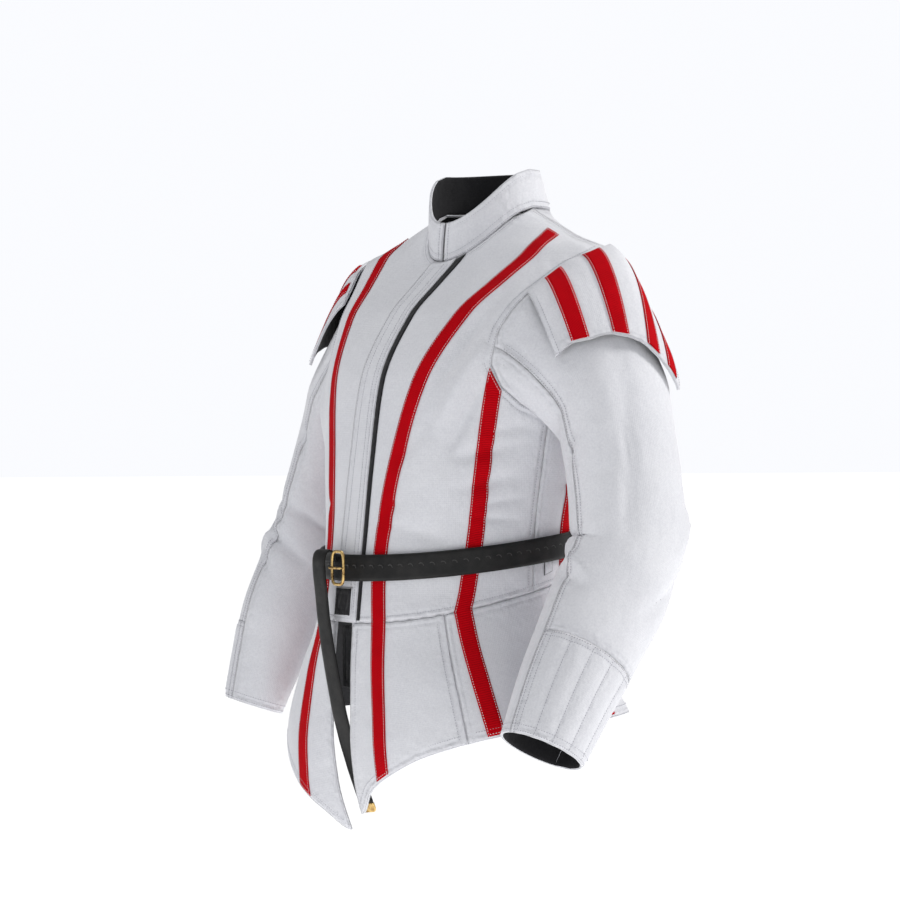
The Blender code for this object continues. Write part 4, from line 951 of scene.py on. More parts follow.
@dataclass(frozen=True)
class Tape:
    """Ribbed woven tape.

    Args:
        name: The finish.
        colour: Its colour.
        dark: Its colour where it is worn, and painted shade between the ribs.
        ribs: Ribs per metre.
    """

    name: str = "red tape"
    colour: tuple[float, float, float] = (0.56, 0.0005, 0.006)
    dark: tuple[float, float, float] = (0.34, 0.0003, 0.003)
    ribs: float = 720.0

    def material(self) -> bpy.types.Material:
        """Make the finish."""
        material, tree, shader = tree_of(self.name)
        shader.inputs["Roughness"].default_value = 0.70
        shader.inputs["Specular IOR Level"].default_value = 0.05
        uv = tree.nodes.new("ShaderNodeUVMap")
        uv.uv_map = "cloth"
        rib = tree.nodes.new("ShaderNodeTexWave")
        rib.bands_direction = "Y"
        rib.inputs["Scale"].default_value = self.ribs / 6.2832
        rib.inputs["Distortion"].default_value = 0.3
        tree.links.new(uv.outputs["UV"], rib.inputs["Vector"])
        edge = tree.nodes.new("ShaderNodeAttribute")
        edge.attribute_name = "sewn"
        rounded = maths(tree, "MINIMUM", maths(tree, "DIVIDE", edge.outputs["Fac"], 0.0022), 1.0)
        place = tree.nodes.new("ShaderNodeTexCoord").outputs["Object"]
        worn = noise(tree, place, 60.0, 4.0)
        # Painted shade: the rib wave that raises the ribs also darkens the colour between them, mixed with
        # random wear.
        tone = maths(tree, "ADD", maths(tree, "MULTIPLY", rib.outputs["Fac"], 0.5),
                     maths(tree, "MULTIPLY", worn, 0.5))
        tree.links.new(ramp(tree, tone, ((0.15, self.dark), (0.6, self.colour))),
                       shader.inputs["Base Color"])
        height = maths(tree, "ADD", maths(tree, "MULTIPLY", rib.outputs["Fac"], 0.00022),
                       maths(tree, "MULTIPLY", rounded, 0.0005))
        height = maths(tree, "ADD", height, maths(tree, "MULTIPLY", noise(tree, place, 90.0), 0.0006))
        relief(tree, shader, height, 1.0)
        return material


@dataclass(frozen=True)
class Leather:
    """Smooth belt leather.

    Args:
        name: The finish.
        colour: Its colour.
        worn: Its colour where it is rubbed.
    """

    name: str = "black leather"
    colour: tuple[float, float, float] = (0.006, 0.006, 0.006)
    worn: tuple[float, float, float] = (0.018, 0.017, 0.016)

    def material(self) -> bpy.types.Material:
        """Make the finish."""
        material, tree, shader = tree_of(self.name)
        place = tree.nodes.new("ShaderNodeTexCoord").outputs["Object"]
        rubbed = noise(tree, place, 55.0, 6.0)
        tree.links.new(ramp(tree, rubbed, ((0.38, self.colour), (0.72, self.worn))),
                       shader.inputs["Base Color"])
        gloss = maths(tree, "ADD", maths(tree, "MULTIPLY", noise(tree, place, 130.0), 0.25), 0.38)
        tree.links.new(gloss, shader.inputs["Roughness"])
        shader.inputs["Specular IOR Level"].default_value = 0.3
        grain = tree.nodes.new("ShaderNodeTexVoronoi")
        grain.inputs["Scale"].default_value = 900.0
        tree.links.new(place, grain.inputs["Vector"])
        height = maths(tree, "ADD", maths(tree, "MULTIPLY", grain.outputs["Distance"], 0.00010),
                       maths(tree, "MULTIPLY", noise(tree, place, 45.0, 5.0), 0.0007))
        relief(tree, shader, height, 1.0)
        return material


@dataclass(frozen=True)
class Metal:
    """Cast and polished brass.

    Args:
        name: The finish.
        colour: Its colour.
        dull: Its colour where it has darkened.
    """

    name: str = "brass"
    colour: tuple[float, float, float] = (0.80, 0.56, 0.22)
    dull: tuple[float, float, float] = (0.42, 0.26, 0.10)

    def material(self) -> bpy.types.Material:
        """Make the finish."""
        material, tree, shader = tree_of(self.name)
        shader.inputs["Metallic"].default_value = 1.0
        place = tree.nodes.new("ShaderNodeTexCoord").outputs["Object"]
        worn = noise(tree, place, 160.0, 5.0)
        tree.links.new(ramp(tree, worn, ((0.36, self.dull), (0.55, self.colour))),
                       shader.inputs["Base Color"])
        tree.links.new(maths(tree, "ADD", maths(tree, "MULTIPLY", worn, 0.3), 0.14),
                       shader.inputs["Roughness"])
        relief(tree, shader, maths(tree, "MULTIPLY", worn, 0.0003), 1.0)
        return material


@dataclass(frozen=True)
class Thread:
    """Plain sewing thread, or another plain small thing.

    Args:
        name: The finish.
        colour: Its colour.
        rough: Roughness.
    """

    name: str
    colour: tuple[float, float, float]
    rough: float = 0.7

    def material(self) -> bpy.types.Material:
        """Make the finish."""
        material, tree, shader = tree_of(self.name)
        shader.inputs["Base Color"].default_value = (*self.colour, 1.0)
        shader.inputs["Roughness"].default_value = self.rough
        return material


class Finishes:
    """The jacket's finishes, each made once."""

    def __init__(self) -> None:
        """Make them."""
        self.white = Cloth("white cloth", (0.78, 0.785, 0.815), (0.66, 0.665, 0.705)).material()
        self.black = Cloth("black lining", (0.020, 0.020, 0.022), (0.010, 0.010, 0.012),
                           sheen=0.1).material()
        self.red = Tape().material()
        self.leather = Leather().material()
        self.brass = Metal().material()
        # Grey thread paints the shade of the needle holes along the cloth's sewing.
        self.thread = Thread("grey-white thread", (0.42, 0.42, 0.46)).material()
        self.white_thread = Thread("white thread", (0.72, 0.72, 0.75)).material()
        self.black_thread = Thread("black thread", (0.03, 0.03, 0.035)).material()
        # Painted highlight: the stamped marks are lighter than the leather so that they look lit.
        self.stamp_highlight = Thread("stamped leather", (0.030, 0.029, 0.028), 0.30).material()


@dataclass
class Wall:
    """A wall of cloth or leather between two faces, with a rounded rim.

    Args:
        name: The piece's name.
        net: Its outer face.
        inner: Points of its inner face.
        outside: Finish of the outer face and rim.
        inside: Finish of the inner face.
        rims: Its sewn edges.
        channels: Lines between neighbouring rows of quilting, or none.
        bulge: How far the rim stands out.
        closed: Whether the rows close on themselves.
    """

    name: str
    net: Net
    inner: Array
    outside: bpy.types.Material
    inside: bpy.types.Material
    rims: Sequence[Rim] = ()
    channels: int = 0
    bulge: float = 0.0004
    closed: bool = False

    def make(self) -> bpy.types.Object:
        """Build the mesh with its map, its seam distances and its finishes."""
        rows, cols = self.net.points.shape[:2]
        outer, inner = self.net.points.reshape(-1, 3), self.inner.reshape(-1, 3)
        size = rows * cols
        wide = cols if self.closed else cols - 1
        index = np.arange(size).reshape(rows, cols)
        k = np.arange(wide)
        n = (k + 1) % cols
        a, b, c, d = index[:-1][:, k], index[:-1][:, n], index[1:][:, n], index[1:][:, k]
        quads = np.stack([a, b, c, d], -1).reshape(-1, 4)
        if self.closed:
            loops = [index[0], index[-1][::-1]]
        else:
            loops = [np.concatenate([index[0], index[1:, -1], index[-1, -2::-1], index[-2:0:-1, 0]])]
        count = 2 * size
        extra, faces = [], [quads, quads[:, ::-1] + size]
        for loop in loops:
            points, deep = outer[loop], inner[loop]
            run = np.roll(points, -1, 0) - np.roll(points, 1, 0)
            out = unit(np.cross(run, points - deep))
            extra.append((points + deep) / 2 + out * self.bulge)
            mid = count + np.arange(len(loop))
            count += len(loop)
            for near, far in ((loop, mid), (mid, loop + size)):
                faces.append(np.stack([np.roll(near, -1), near, far, np.roll(far, -1)], -1))
        points = np.concatenate([outer, inner, *extra])
        faces = np.concatenate(faces)
        corner = points[faces[0]]
        normal = np.cross(corner[1] - corner[0], corner[2] - corner[0])
        if normal @ (outer[0] - inner[0]) < 0:
            faces = faces[:, ::-1]
            if extra:
                self.turn_rim(points, outer, inner, loops, 2 * size)
        mesh = bpy.data.meshes.new(self.name)
        mesh.from_pydata(points.tolist(), [], faces.tolist())
        mesh.materials.append(self.outside)
        mesh.materials.append(self.inside)
        which = np.zeros(len(faces), np.int32)
        which[len(quads):2 * len(quads)] = 1
        mesh.polygons.foreach_set("material_index", which)
        mesh.polygons.foreach_set("use_smooth", np.ones(len(faces), bool))
        flat = np.stack([self.net.along.ravel(), self.net.down.ravel()], -1)
        uv = np.concatenate([flat, flat] + [flat[loop] for loop in loops])
        layer = mesh.uv_layers.new(name="cloth")
        corners = np.zeros(len(mesh.loops), np.int32)
        mesh.loops.foreach_get("vertex_index", corners)
        layer.data.foreach_set("uv", uv[corners].astype(np.float32).ravel())
        gap = rim_distance(self.net, self.rims)
        # Quilting lines count as sewn edges, so the cloth finish both grooves them and paints shade along them.
        if self.channels:
            at = self.net.along[:, ::self.channels][:, 1:]
            to_line = np.abs(self.net.along[:, :, None] - at[:, None, :]).min(-1)
            gap = np.minimum(gap, 0.0068 + to_line.ravel())
        # Rim points are set on the sewn edge, where the cloth finish paints its darkest seam shade.
        gap = np.concatenate([gap, np.full(size, 0.03)] + [gap[loop] * 0 for loop in loops])
        sewn_at = mesh.attributes.new("sewn", "FLOAT", "POINT")
        sewn_at.data.foreach_set("value", gap.astype(np.float32))
        item = bpy.data.objects.new(self.name, mesh)
        bpy.context.scene.collection.objects.link(item)
        return item

    def turn_rim(self, points: Array, outer: Array, inner: Array, loops: list, start: int) -> None:
        """Put the rim's middle on the other side of the wall's edge."""
        for loop in loops:
            stop = start + len(loop)
            middle = (outer[loop] + inner[loop]) / 2
            points[start:stop] = 2 * middle - points[start:stop]
            start = stop


def settle(item: bpy.types.Object, nodes: Sequence[str]) -> bpy.types.Object:
    """Let a piece ride on the jacket and stand for its solids."""
    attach(item, "root")
    if nodes:
        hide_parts(*nodes)
    log.info("%s: %d faces", item.name, len(item.data.polygons))
    return item


def add_group(name: str, inputs: Sequence[tuple[str, str]]) -> tuple[bpy.types.NodeTree, dict]:
    """Make an empty Geometry Nodes tree.

    Args:
        name: The tree's name.
        inputs: Names and socket kinds of its inputs after the geometry.

    Returns:
        The tree and the identifiers of its inputs by name.
    """
    tree = bpy.data.node_groups.new(name, "GeometryNodeTree")
    tree.interface.new_socket("Geometry", in_out="INPUT", socket_type="NodeSocketGeometry")
    named = {}
    for label, kind in inputs:
        socket = tree.interface.new_socket(label, in_out="INPUT", socket_type=kind)
        named[label] = socket.identifier
    tree.interface.new_socket("Geometry", in_out="OUTPUT", socket_type="NodeSocketGeometry")
    return tree, named


def bake(name: str, points: Array, edges: Sequence[tuple[int, int]], tree: bpy.types.NodeTree,
         values: dict[str, object], vectors: dict[str, Array] | None = None) -> bpy.types.Object:
    """Run a Geometry Nodes tree on points or lines and keep its result as a plain mesh.

    Args:
        name: The piece's name.
        points: The points that it works on.
        edges: Edges between them.
        tree: The tree.
        values: Its inputs by identifier.
        vectors: Named directions at the points.

    Returns:
        The finished piece.
    """
    mesh = bpy.data.meshes.new(name + " guide")
    mesh.from_pydata(points.tolist(), list(edges), [])
    for label, rows in (vectors or {}).items():
        layer = mesh.attributes.new(label, "FLOAT_VECTOR", "POINT")
        layer.data.foreach_set("vector", rows.astype(np.float32).ravel())
    item = bpy.data.objects.new(name, mesh)
    bpy.context.scene.collection.objects.link(item)
    modifier = item.modifiers.new("repeat", "NODES")
    modifier.node_group = tree
    for identifier, value in values.items():
        modifier[identifier] = value
    view = bpy.context.evaluated_depsgraph_get()
    made = bpy.data.meshes.new_from_object(item.evaluated_get(view), depsgraph=view)
    item.modifiers.clear()
    item.data = made
    made.name = name
    bpy.data.meshes.remove(mesh)
    return item


@dataclass(frozen=True)
class Sewing:
    """Rows of stitches along lines.

    Args:
        pitch: Distance from stitch to stitch.
        length: Length of a stitch.
        radius: Half thickness of the thread.
        seed: Seed of the small unevenness.
    """

    pitch: float = 0.0032
    length: float = 0.0023
    radius: float = 0.00042
    seed: int = 7

    def tree(self) -> tuple[bpy.types.NodeTree, dict]:
        """Build the tree: lines to evenly spaced points, a stitch on each, turned along it."""
        tree, named = add_group("sewing", (("Pitch", "NodeSocketFloat"), ("Length", "NodeSocketFloat"),
                                           ("Radius", "NodeSocketFloat"), ("Seed", "NodeSocketInt"),
                                           ("Thread", "NodeSocketMaterial")))
        add, link = tree.nodes.new, tree.links.new
        given, result = add("NodeGroupInput"), add("NodeGroupOutput")
        lines = add("GeometryNodeMeshToCurve")
        even = add("GeometryNodeResampleCurve")
        even.mode = "LENGTH"
        tangent = add("GeometryNodeInputTangent")
        turned = add("FunctionNodeAlignRotationToVector")
        turned.axis = "Z"
        stitch = add("GeometryNodeMeshIcoSphere")
        stitch.inputs["Radius"].default_value = 1.0
        stitch.inputs["Subdivisions"].default_value = 1
        uneven = add("FunctionNodeRandomValue")
        uneven.data_type = "FLOAT"
        uneven.inputs[2].default_value = 0.42
        uneven.inputs[3].default_value = 0.54
        long = add("ShaderNodeMath")
        long.operation = "MULTIPLY"
        size = add("ShaderNodeCombineXYZ")
        place = add("GeometryNodeInstanceOnPoints")
        real = add("GeometryNodeRealizeInstances")
        finish = add("GeometryNodeSetMaterial")
        link(given.outputs["Geometry"], lines.inputs[0])
        link(lines.outputs[0], even.inputs["Curve"])
        link(given.outputs["Pitch"], even.inputs["Length"])
        link(tangent.outputs[0], turned.inputs["Vector"])
        link(given.outputs["Seed"], uneven.inputs["Seed"])
        link(given.outputs["Length"], long.inputs[0])
        link(uneven.outputs[1], long.inputs[1])
        for k in (0, 1):
            link(given.outputs["Radius"], size.inputs[k])
        link(long.outputs[0], size.inputs[2])
        link(even.outputs[0], place.inputs["Points"])
        link(stitch.outputs["Mesh"], place.inputs["Instance"])
        link(turned.outputs[0], place.inputs["Rotation"])
        link(size.outputs[0], place.inputs["Scale"])
        link(place.outputs[0], real.inputs[0])
        link(real.outputs[0], finish.inputs["Geometry"])
        link(given.outputs["Thread"], finish.inputs["Material"])
        link(finish.outputs[0], result.inputs[0])
        return tree, named

    def make(self, name: str, lines: Sequence[Array], thread: bpy.types.Material) -> bpy.types.Object:
        """Sew the lines.

        Args:
            name: The piece's name.
            lines: Lines of points.
            thread: The thread's finish.

        Returns:
            One piece with all the stitches.
        """
        edges, start = [], 0
        for line in lines:
            edges += [(start + k, start + k + 1) for k in range(len(line) - 1)]
            start += len(line)
        tree, named = self.tree()
        values = {named["Pitch"]: self.pitch, named["Length"]: self.length,
                  named["Radius"]: self.radius, named["Seed"]: self.seed, named["Thread"]: thread}
        return bake(name, np.concatenate(lines), edges, tree, values)


@dataclass(frozen=True)
class Stamps:
    """Small curved marks pressed in a row along the belt.

    Args:
        radius: Radius of a mark's arc.
        sweep: Angle of the arc in radians.
        thick: Half thickness of its line.
    """

    radius: float = 0.0034
    sweep: float = 2.3
    thick: float = 0.0008

    def make(self, name: str, net: Net, at: Sequence[tuple[float, float]],
             finish: bpy.types.Material) -> bpy.types.Object:
        """Set a mark at each row and line of the net.

        Args:
            name: The piece's name.
            net: Outer face of the belt.
            at: Rows and lines of the marks.
            finish: Their finish.

        Returns:
            One piece with all the marks.
        """
        tree, named = add_group("stamps", (("Radius", "NodeSocketFloat"), ("Sweep", "NodeSocketFloat"),
                                           ("Thick", "NodeSocketFloat"),
                                           ("Finish", "NodeSocketMaterial")))
        add, link = tree.nodes.new, tree.links.new
        given, result = add("NodeGroupInput"), add("NodeGroupOutput")
        arc = add("GeometryNodeCurveArc")
        arc.inputs["Resolution"].default_value = 8
        ring = add("GeometryNodeCurvePrimitiveCircle")
        ring.inputs["Resolution"].default_value = 6
        swept = add("GeometryNodeCurveToMesh")
        swept.inputs["Fill Caps"].default_value = True
        face, run = add("GeometryNodeInputNamedAttribute"), add("GeometryNodeInputNamedAttribute")
        for node, label in ((face, "face"), (run, "run")):
            node.data_type = "FLOAT_VECTOR"
            node.inputs["Name"].default_value = label
        up, turned = add("FunctionNodeAlignRotationToVector"), add("FunctionNodeAlignRotationToVector")
        up.axis, turned.axis, turned.pivot_axis = "Z", "X", "Z"
        place, real = add("GeometryNodeInstanceOnPoints"), add("GeometryNodeRealizeInstances")
        coat = add("GeometryNodeSetMaterial")
        link(given.outputs["Radius"], arc.inputs["Radius"])
        link(given.outputs["Sweep"], arc.inputs["Sweep Angle"])
        link(given.outputs["Thick"], ring.inputs["Radius"])
        link(arc.outputs[0], swept.inputs["Curve"])
        link(ring.outputs[0], swept.inputs["Profile Curve"])
        link(face.outputs["Attribute"], up.inputs["Vector"])
        link(up.outputs[0], turned.inputs["Rotation"])
        link(run.outputs["Attribute"], turned.inputs["Vector"])
        link(given.outputs["Geometry"], place.inputs["Points"])
        link(swept.outputs[0], place.inputs["Instance"])
        link(turned.outputs[0], place.inputs["Rotation"])
        link(place.outputs[0], real.inputs[0])
        link(real.outputs[0], coat.inputs["Geometry"])
        link(given.outputs["Finish"], coat.inputs["Material"])
        link(coat.outputs[0], result.inputs[0])
        points, faces, runs = [], [], []
        for row, line in at:
            j, k = int(row), int(line)
            points.append(net.points[j, k] - net.normals[j, k] * self.thick * 0.45)
            faces.append(net.normals[j, k])
            runs.append(unit(net.points[min(j + 1, len(net.points) - 1), k] - net.points[j, k])
                        if len(net.points) > net.points.shape[1]
                        else unit(net.points[j, (k + 1) % net.points.shape[1]] - net.points[j, k]))
        values = {named["Radius"]: self.radius, named["Sweep"]: self.sweep,
                  named["Thick"]: self.thick, named["Finish"]: finish}
        return bake(name, np.array(points), [], tree, values,
                    {"face": np.array(faces), "run": np.array(runs)})


@dataclass
class Dresser:
    """What every sub-assembly shares: the body's form, the finishes and the sewing.

    Args:
        torso: The body's form.
        finishes: The finishes.
        wall: Thickness of the cloth.
        rest: Gap under what is laid on a panel.
        tape: Thickness of a tape.
    """

    torso: Torso
    finishes: Finishes
    wall: float = 0.003
    rest: float = 0.0003
    tape: float = 0.0010

    def cloth(self, name: str, net: Net, inner: Array, nodes: Sequence[str],
              rims: Sequence[Rim], channels: int = 0) -> bpy.types.Object:
        """Make one white panel with its black inside."""
        white, black = self.finishes.white, self.finishes.black
        item = Wall(name, net, inner, white, black, rims, channels).make()
        settle(item, nodes)
        return item

    def laid(self, name: str, net: Net, finish: bpy.types.Material, slot: str,
             nodes: Sequence[str], rest: float, thick: float, on: Sequence[str]) -> Net:
        top = Net(net.lifted(rest + thick), net.normals, net.along, net.down)
        rims = list(Rim)
        item = Wall(name, top, net.lifted(rest), finish, finish, rims, 0, 0.0002).make()
        settle(item, nodes)
        return top

    def stitch(self, name: str, lines: Sequence[Array], black: bool = False,
               bright: bool = False) -> None:
        """Sew rows of stitches in grey thread that paints the shade of the needle holes, or in black or bright
        white.
        """
        plain = self.finishes.white_thread if bright else self.finishes.thread
        thread = self.finishes.black_thread if black else plain
        item = Sewing().make(name, lines, thread)
        settle(item, ())


@dataclass
class Body(Dresser):
    """Fronts, back, skirt, tapes and the flap over the closing.

    Args:
        rows: Steps up a panel.
        fine: Steps between neighbouring lines.
        skirt_rows: Steps down the skirt.
        single: Distance of a single row of sewing from its edge.
        double: Distances of a double row.
    """

    rows: int = 72
    fine: int = 4
    skirt_rows: int = 42
    single: float = 0.0065
    double: tuple[float, float] = (0.0020, 0.0080)

    def __post_init__(self) -> None:
        """Work out the panels once."""
        self.panels = {(s, h): self.torso.panel(s.value, h, self.rows, self.fine)
                       for s in Side for h in Half}
        self.skirts = {(s, name): self.torso.skirt(s.value, lines, self.skirt_rows, self.fine)
                       for s in Side for name, lines in (("front", SKIRT_FRONT),
                                                         ("side", SKIRT_SIDE),
                                                         ("back", SKIRT_BACK))}
        self.sewing: list[Array] = []

    def inner(self, side: Side, half: Half, sleeve: SleeveForm) -> Array:
        """Inner face of a panel, mitred to the sleeve round the armhole."""
        net = self.panels[side, half]
        inner = net.lifted(-self.wall)
        first = (9 if half is Half.FRONT else 6) * self.fine
        for k in range(first, net.points.shape[1]):
            at = (k - first) if half is Half.FRONT else (first - k)
            inner[-1, k] = net.points[-1, k] - sleeve.edge[at % sleeve.count] * self.wall
        return inner

    def build(self, sleeves: dict[Side, SleeveForm]) -> None:
        """Make the body's panels, skirt, tapes and flap with their sewing."""
        sides = (Rim.LAST_LINE, Rim.FIRST_ROW, Rim.LAST_ROW)
        for side in Side:
            net = self.panels[side, Half.FRONT]
            inner = self.inner(side, Half.FRONT, sleeves[side])
            name = "front_" + side.word
            self.cloth(name + "_cloth", net, inner, [name], sides)
            self.sewing.append(sewn(net, Rim.FIRST_ROW, self.single))
            self.sewing.append(sewn(net, Rim.LAST_LINE, self.single)[3:-4])
            top = net.part(slice(None), slice(9 * self.fine, None))
            for gap in self.double:
                self.sewing.append(sewn(top, Rim.LAST_ROW, gap)[1:-3])
            neck = net.part(slice(None), slice(self.fine, 5 * self.fine + 1))
            self.sewing.append(sewn(neck, Rim.LAST_ROW, 0.005))
            shoulder = net.part(slice(None), slice(5 * self.fine, 9 * self.fine + 1))
            self.sewing.append(sewn(shoulder, Rim.LAST_ROW, self.single)[1:-1])
        left, right = (self.panels[s, Half.BACK] for s in Side)
        turned = Net(left.points[:, :0:-1], left.normals[:, :0:-1], -left.along[:, :0:-1],
                     left.down[:, :0:-1])
        back = Net(np.concatenate([turned.points, right.points], 1),
                   np.concatenate([turned.normals, right.normals], 1),
                   np.concatenate([turned.along, right.along], 1),
                   np.concatenate([turned.down, right.down], 1))
        inside = np.concatenate([self.inner(Side.LEFT, Half.BACK, sleeves[Side.LEFT])[:, :0:-1],
                                 self.inner(Side.RIGHT, Half.BACK, sleeves[Side.RIGHT])], 1)
        rims = (Rim.FIRST_LINE, Rim.LAST_LINE, Rim.FIRST_ROW, Rim.LAST_ROW)
        self.cloth("back_cloth", back, inside, ["back"], rims)
        self.sewing.append(sewn(back, Rim.FIRST_ROW, self.single))
        for side in Side:
            net = self.panels[side, Half.BACK]
            arm = net.part(slice(None), slice(6 * self.fine, None))
            self.sewing.append(sewn(arm, Rim.LAST_ROW, self.double[1])[1:-3])
            neck = net.part(slice(None), slice(0, 2 * self.fine + 1))
            self.sewing.append(sewn(neck, Rim.LAST_ROW, 0.005))
        self.skirt()
        self.tapes()
        self.flap()
        self.marks()
        self.stitch("sewing_of_body", self.sewing)

    def skirt(self) -> None:
        """Make the skirt's panels with hems, lapped seams and edge sewing."""
        rows: list[Array] = []
        rims = (Rim.FIRST_LINE, Rim.LAST_LINE, Rim.FIRST_ROW, Rim.LAST_ROW)
        for side in Side:
            for part in ("front", "side"):
                net = self.skirts[side, part]
                name = "skirt_%s_%s" % (part, side.word)
                self.cloth(name + "_cloth", net, net.lifted(-self.wall), [name], rims)
                rows.append(sewn(net, Rim.LAST_ROW, 0.0105)[2:-2])
                if part == "front":
                    rows.append(sewn(net, Rim.FIRST_LINE, 0.0105)[2:-3])
                    rows.append(sewn(net, Rim.LAST_LINE, 0.0095)[2:-2])
        left, right = (self.skirts[s, "back"] for s in Side)
        back = Net(np.concatenate([left.points[:, :-1], right.points[:, ::-1]], 1),
                   np.concatenate([left.normals[:, :-1], right.normals[:, ::-1]], 1))
        self.cloth("skirt_back_cloth", back, back.lifted(-self.wall), ["skirt_back"], rims)
        rows.append(sewn(back, Rim.LAST_ROW, 0.0105)[2:-2])
        rows.append(sewn(back, Rim.FIRST_LINE, 0.0065)[2:-2])
        rows.append(sewn(back, Rim.LAST_LINE, 0.0065)[2:-2])
        self.stitch("sewing_of_skirt", rows)

    def tapes(self) -> None:
        """Lay the six long tapes and sew down both edges of each."""
        f, rows = self.fine, []
        runs = (("tape_front", Half.FRONT, range(6 * f, 7 * f + 1), "front", 2, 0.35),
                ("tape_side_front", Half.FRONT, range(13 * f, 14 * f + 1), "side", 1, 0.30),
                ("tape_side_back", Half.BACK, range(9 * f, 8 * f - 1, -1), "back", 1, 1.00))
        for side in Side:
            for name, half, keep, part, first, stop in runs:
                upper = self.panels[side, half].part(slice(None), list(keep))
                upper = cut(upper, 0, self.rows * (1 - stop / 18))
                low = self.skirts[side, part].part(slice(None), slice(first * f, (first + 1) * f + 1))
                low = cut(low, 0, self.skirt_rows * (1 - 0.12 / 7))
                low = Net(low.points[::-1], low.normals[::-1])
                whole = name + "_" + side.word
                net = self.laid(whole + "_ribbed", joined([low, upper], 0), self.finishes.red,
                                "red_tape", [whole], self.rest, self.tape, [])
                for rim in (Rim.FIRST_LINE, Rim.LAST_LINE):
                    rows.append(sewn(net, rim, 0.0016))
                for rim in (Rim.FIRST_ROW, Rim.LAST_ROW):
                    rows.append(sewn(net, rim, 0.0022))
        self.stitch("sewing_of_tapes", rows, bright=True)

    def flap(self) -> None:
        """Make the flap over the closing and the black strip beside its free edge."""
        left, right = (self.panels[s, Half.FRONT] for s in Side)
        f = self.fine
        net = joined([right.part(slice(None), slice(f, None, -1)), left.part(slice(None), slice(1, 2 * f + 1))])
        net = cut(net, 0, self.rows * (1 - 0.1 / 18))
        top = self.laid("placket_flap", net, self.finishes.white, "white_cloth", ["placket"],
                        0.0006, 0.0020, [])
        for rim, gap in ((Rim.FIRST_LINE, 0.0025), (Rim.FIRST_LINE, 0.0120),
                         (Rim.LAST_LINE, 0.0050), (Rim.LAST_LINE, 0.0120)):
            self.sewing.append(sewn(top, rim, gap)[2:-2])
        strip = cut(left.part(slice(None), slice(2 * f, 3 * f + 1)), 0.4, self.rows * 0.9945)
        self.laid("zip_strip", strip, self.finishes.black, "black_cloth", ["zip_underlap"],
                  self.rest, 0.0008, [])

    def marks(self) -> None:
        """Make the bare patch, the bare side label and the strip in the skirt's opening."""
        left, right = (self.panels[s, Half.FRONT] for s in Side)
        f, step = self.fine, self.rows / 18
        net = joined([right.part(slice(None), slice(f, None, -1)), left.part(slice(None), slice(1, f + 1))])
        net = cut(net, 0.25 * step, 1.70 * step)
        self.laid("patch_border", net, self.finishes.white, "white_cloth", ["patch"],
                  0.0029, 0.0005, [])
        field = Net(refined(net.points, 4, 1), refined(net.normals, 4, 1))
        field = cut(field.part(slice(None), slice(2, -2)), 0.36, len(net.points) - 1.36)
        top = self.laid("patch_field", field, self.finishes.black, "black_cloth", [],
                        0.0035, 0.0004, [])
        self.stitch("sewing_of_patch", [sewn(top, rim, 0.0012) for rim in Rim], black=True)
        back = self.panels[Side.LEFT, Half.BACK]
        net = cut(back.part(slice(None), slice(10 * f, 11 * f + 1)), 1.1 * step, 3.2 * step)
        self.laid("side_label_edge", net, self.finishes.black, "black_cloth", ["side_label"],
                  self.rest, 0.0004, [])
        inset = cut(Net(refined(net.points, 4, 1), refined(net.normals, 4, 1)), 0.3,
                    len(net.points) - 1.3)
        inset = inset.part(slice(None), slice(1, -1))
        self.laid("side_label_field", inset, self.finishes.white, "white_cloth", [],
                  0.0008, 0.0003, [])
        ends = np.array([[-0.0125, 0.0125], [-0.497, -0.569]])
        x, z = np.meshgrid(np.linspace(*ends[0], 7), np.linspace(*ends[1], 19))
        points = np.stack([x + 0.002, np.full_like(x, -0.2170), z], -1)
        normals = np.broadcast_to(np.array([0.0, -1.0, 0.0]), points.shape)
        strip = Net(points, normals)
        item = Wall("skirt_strip", strip, strip.lifted(-0.0020), self.finishes.black,
                    self.finishes.black, list(Rim)).make()
        settle(item, ["skirt_tab"])


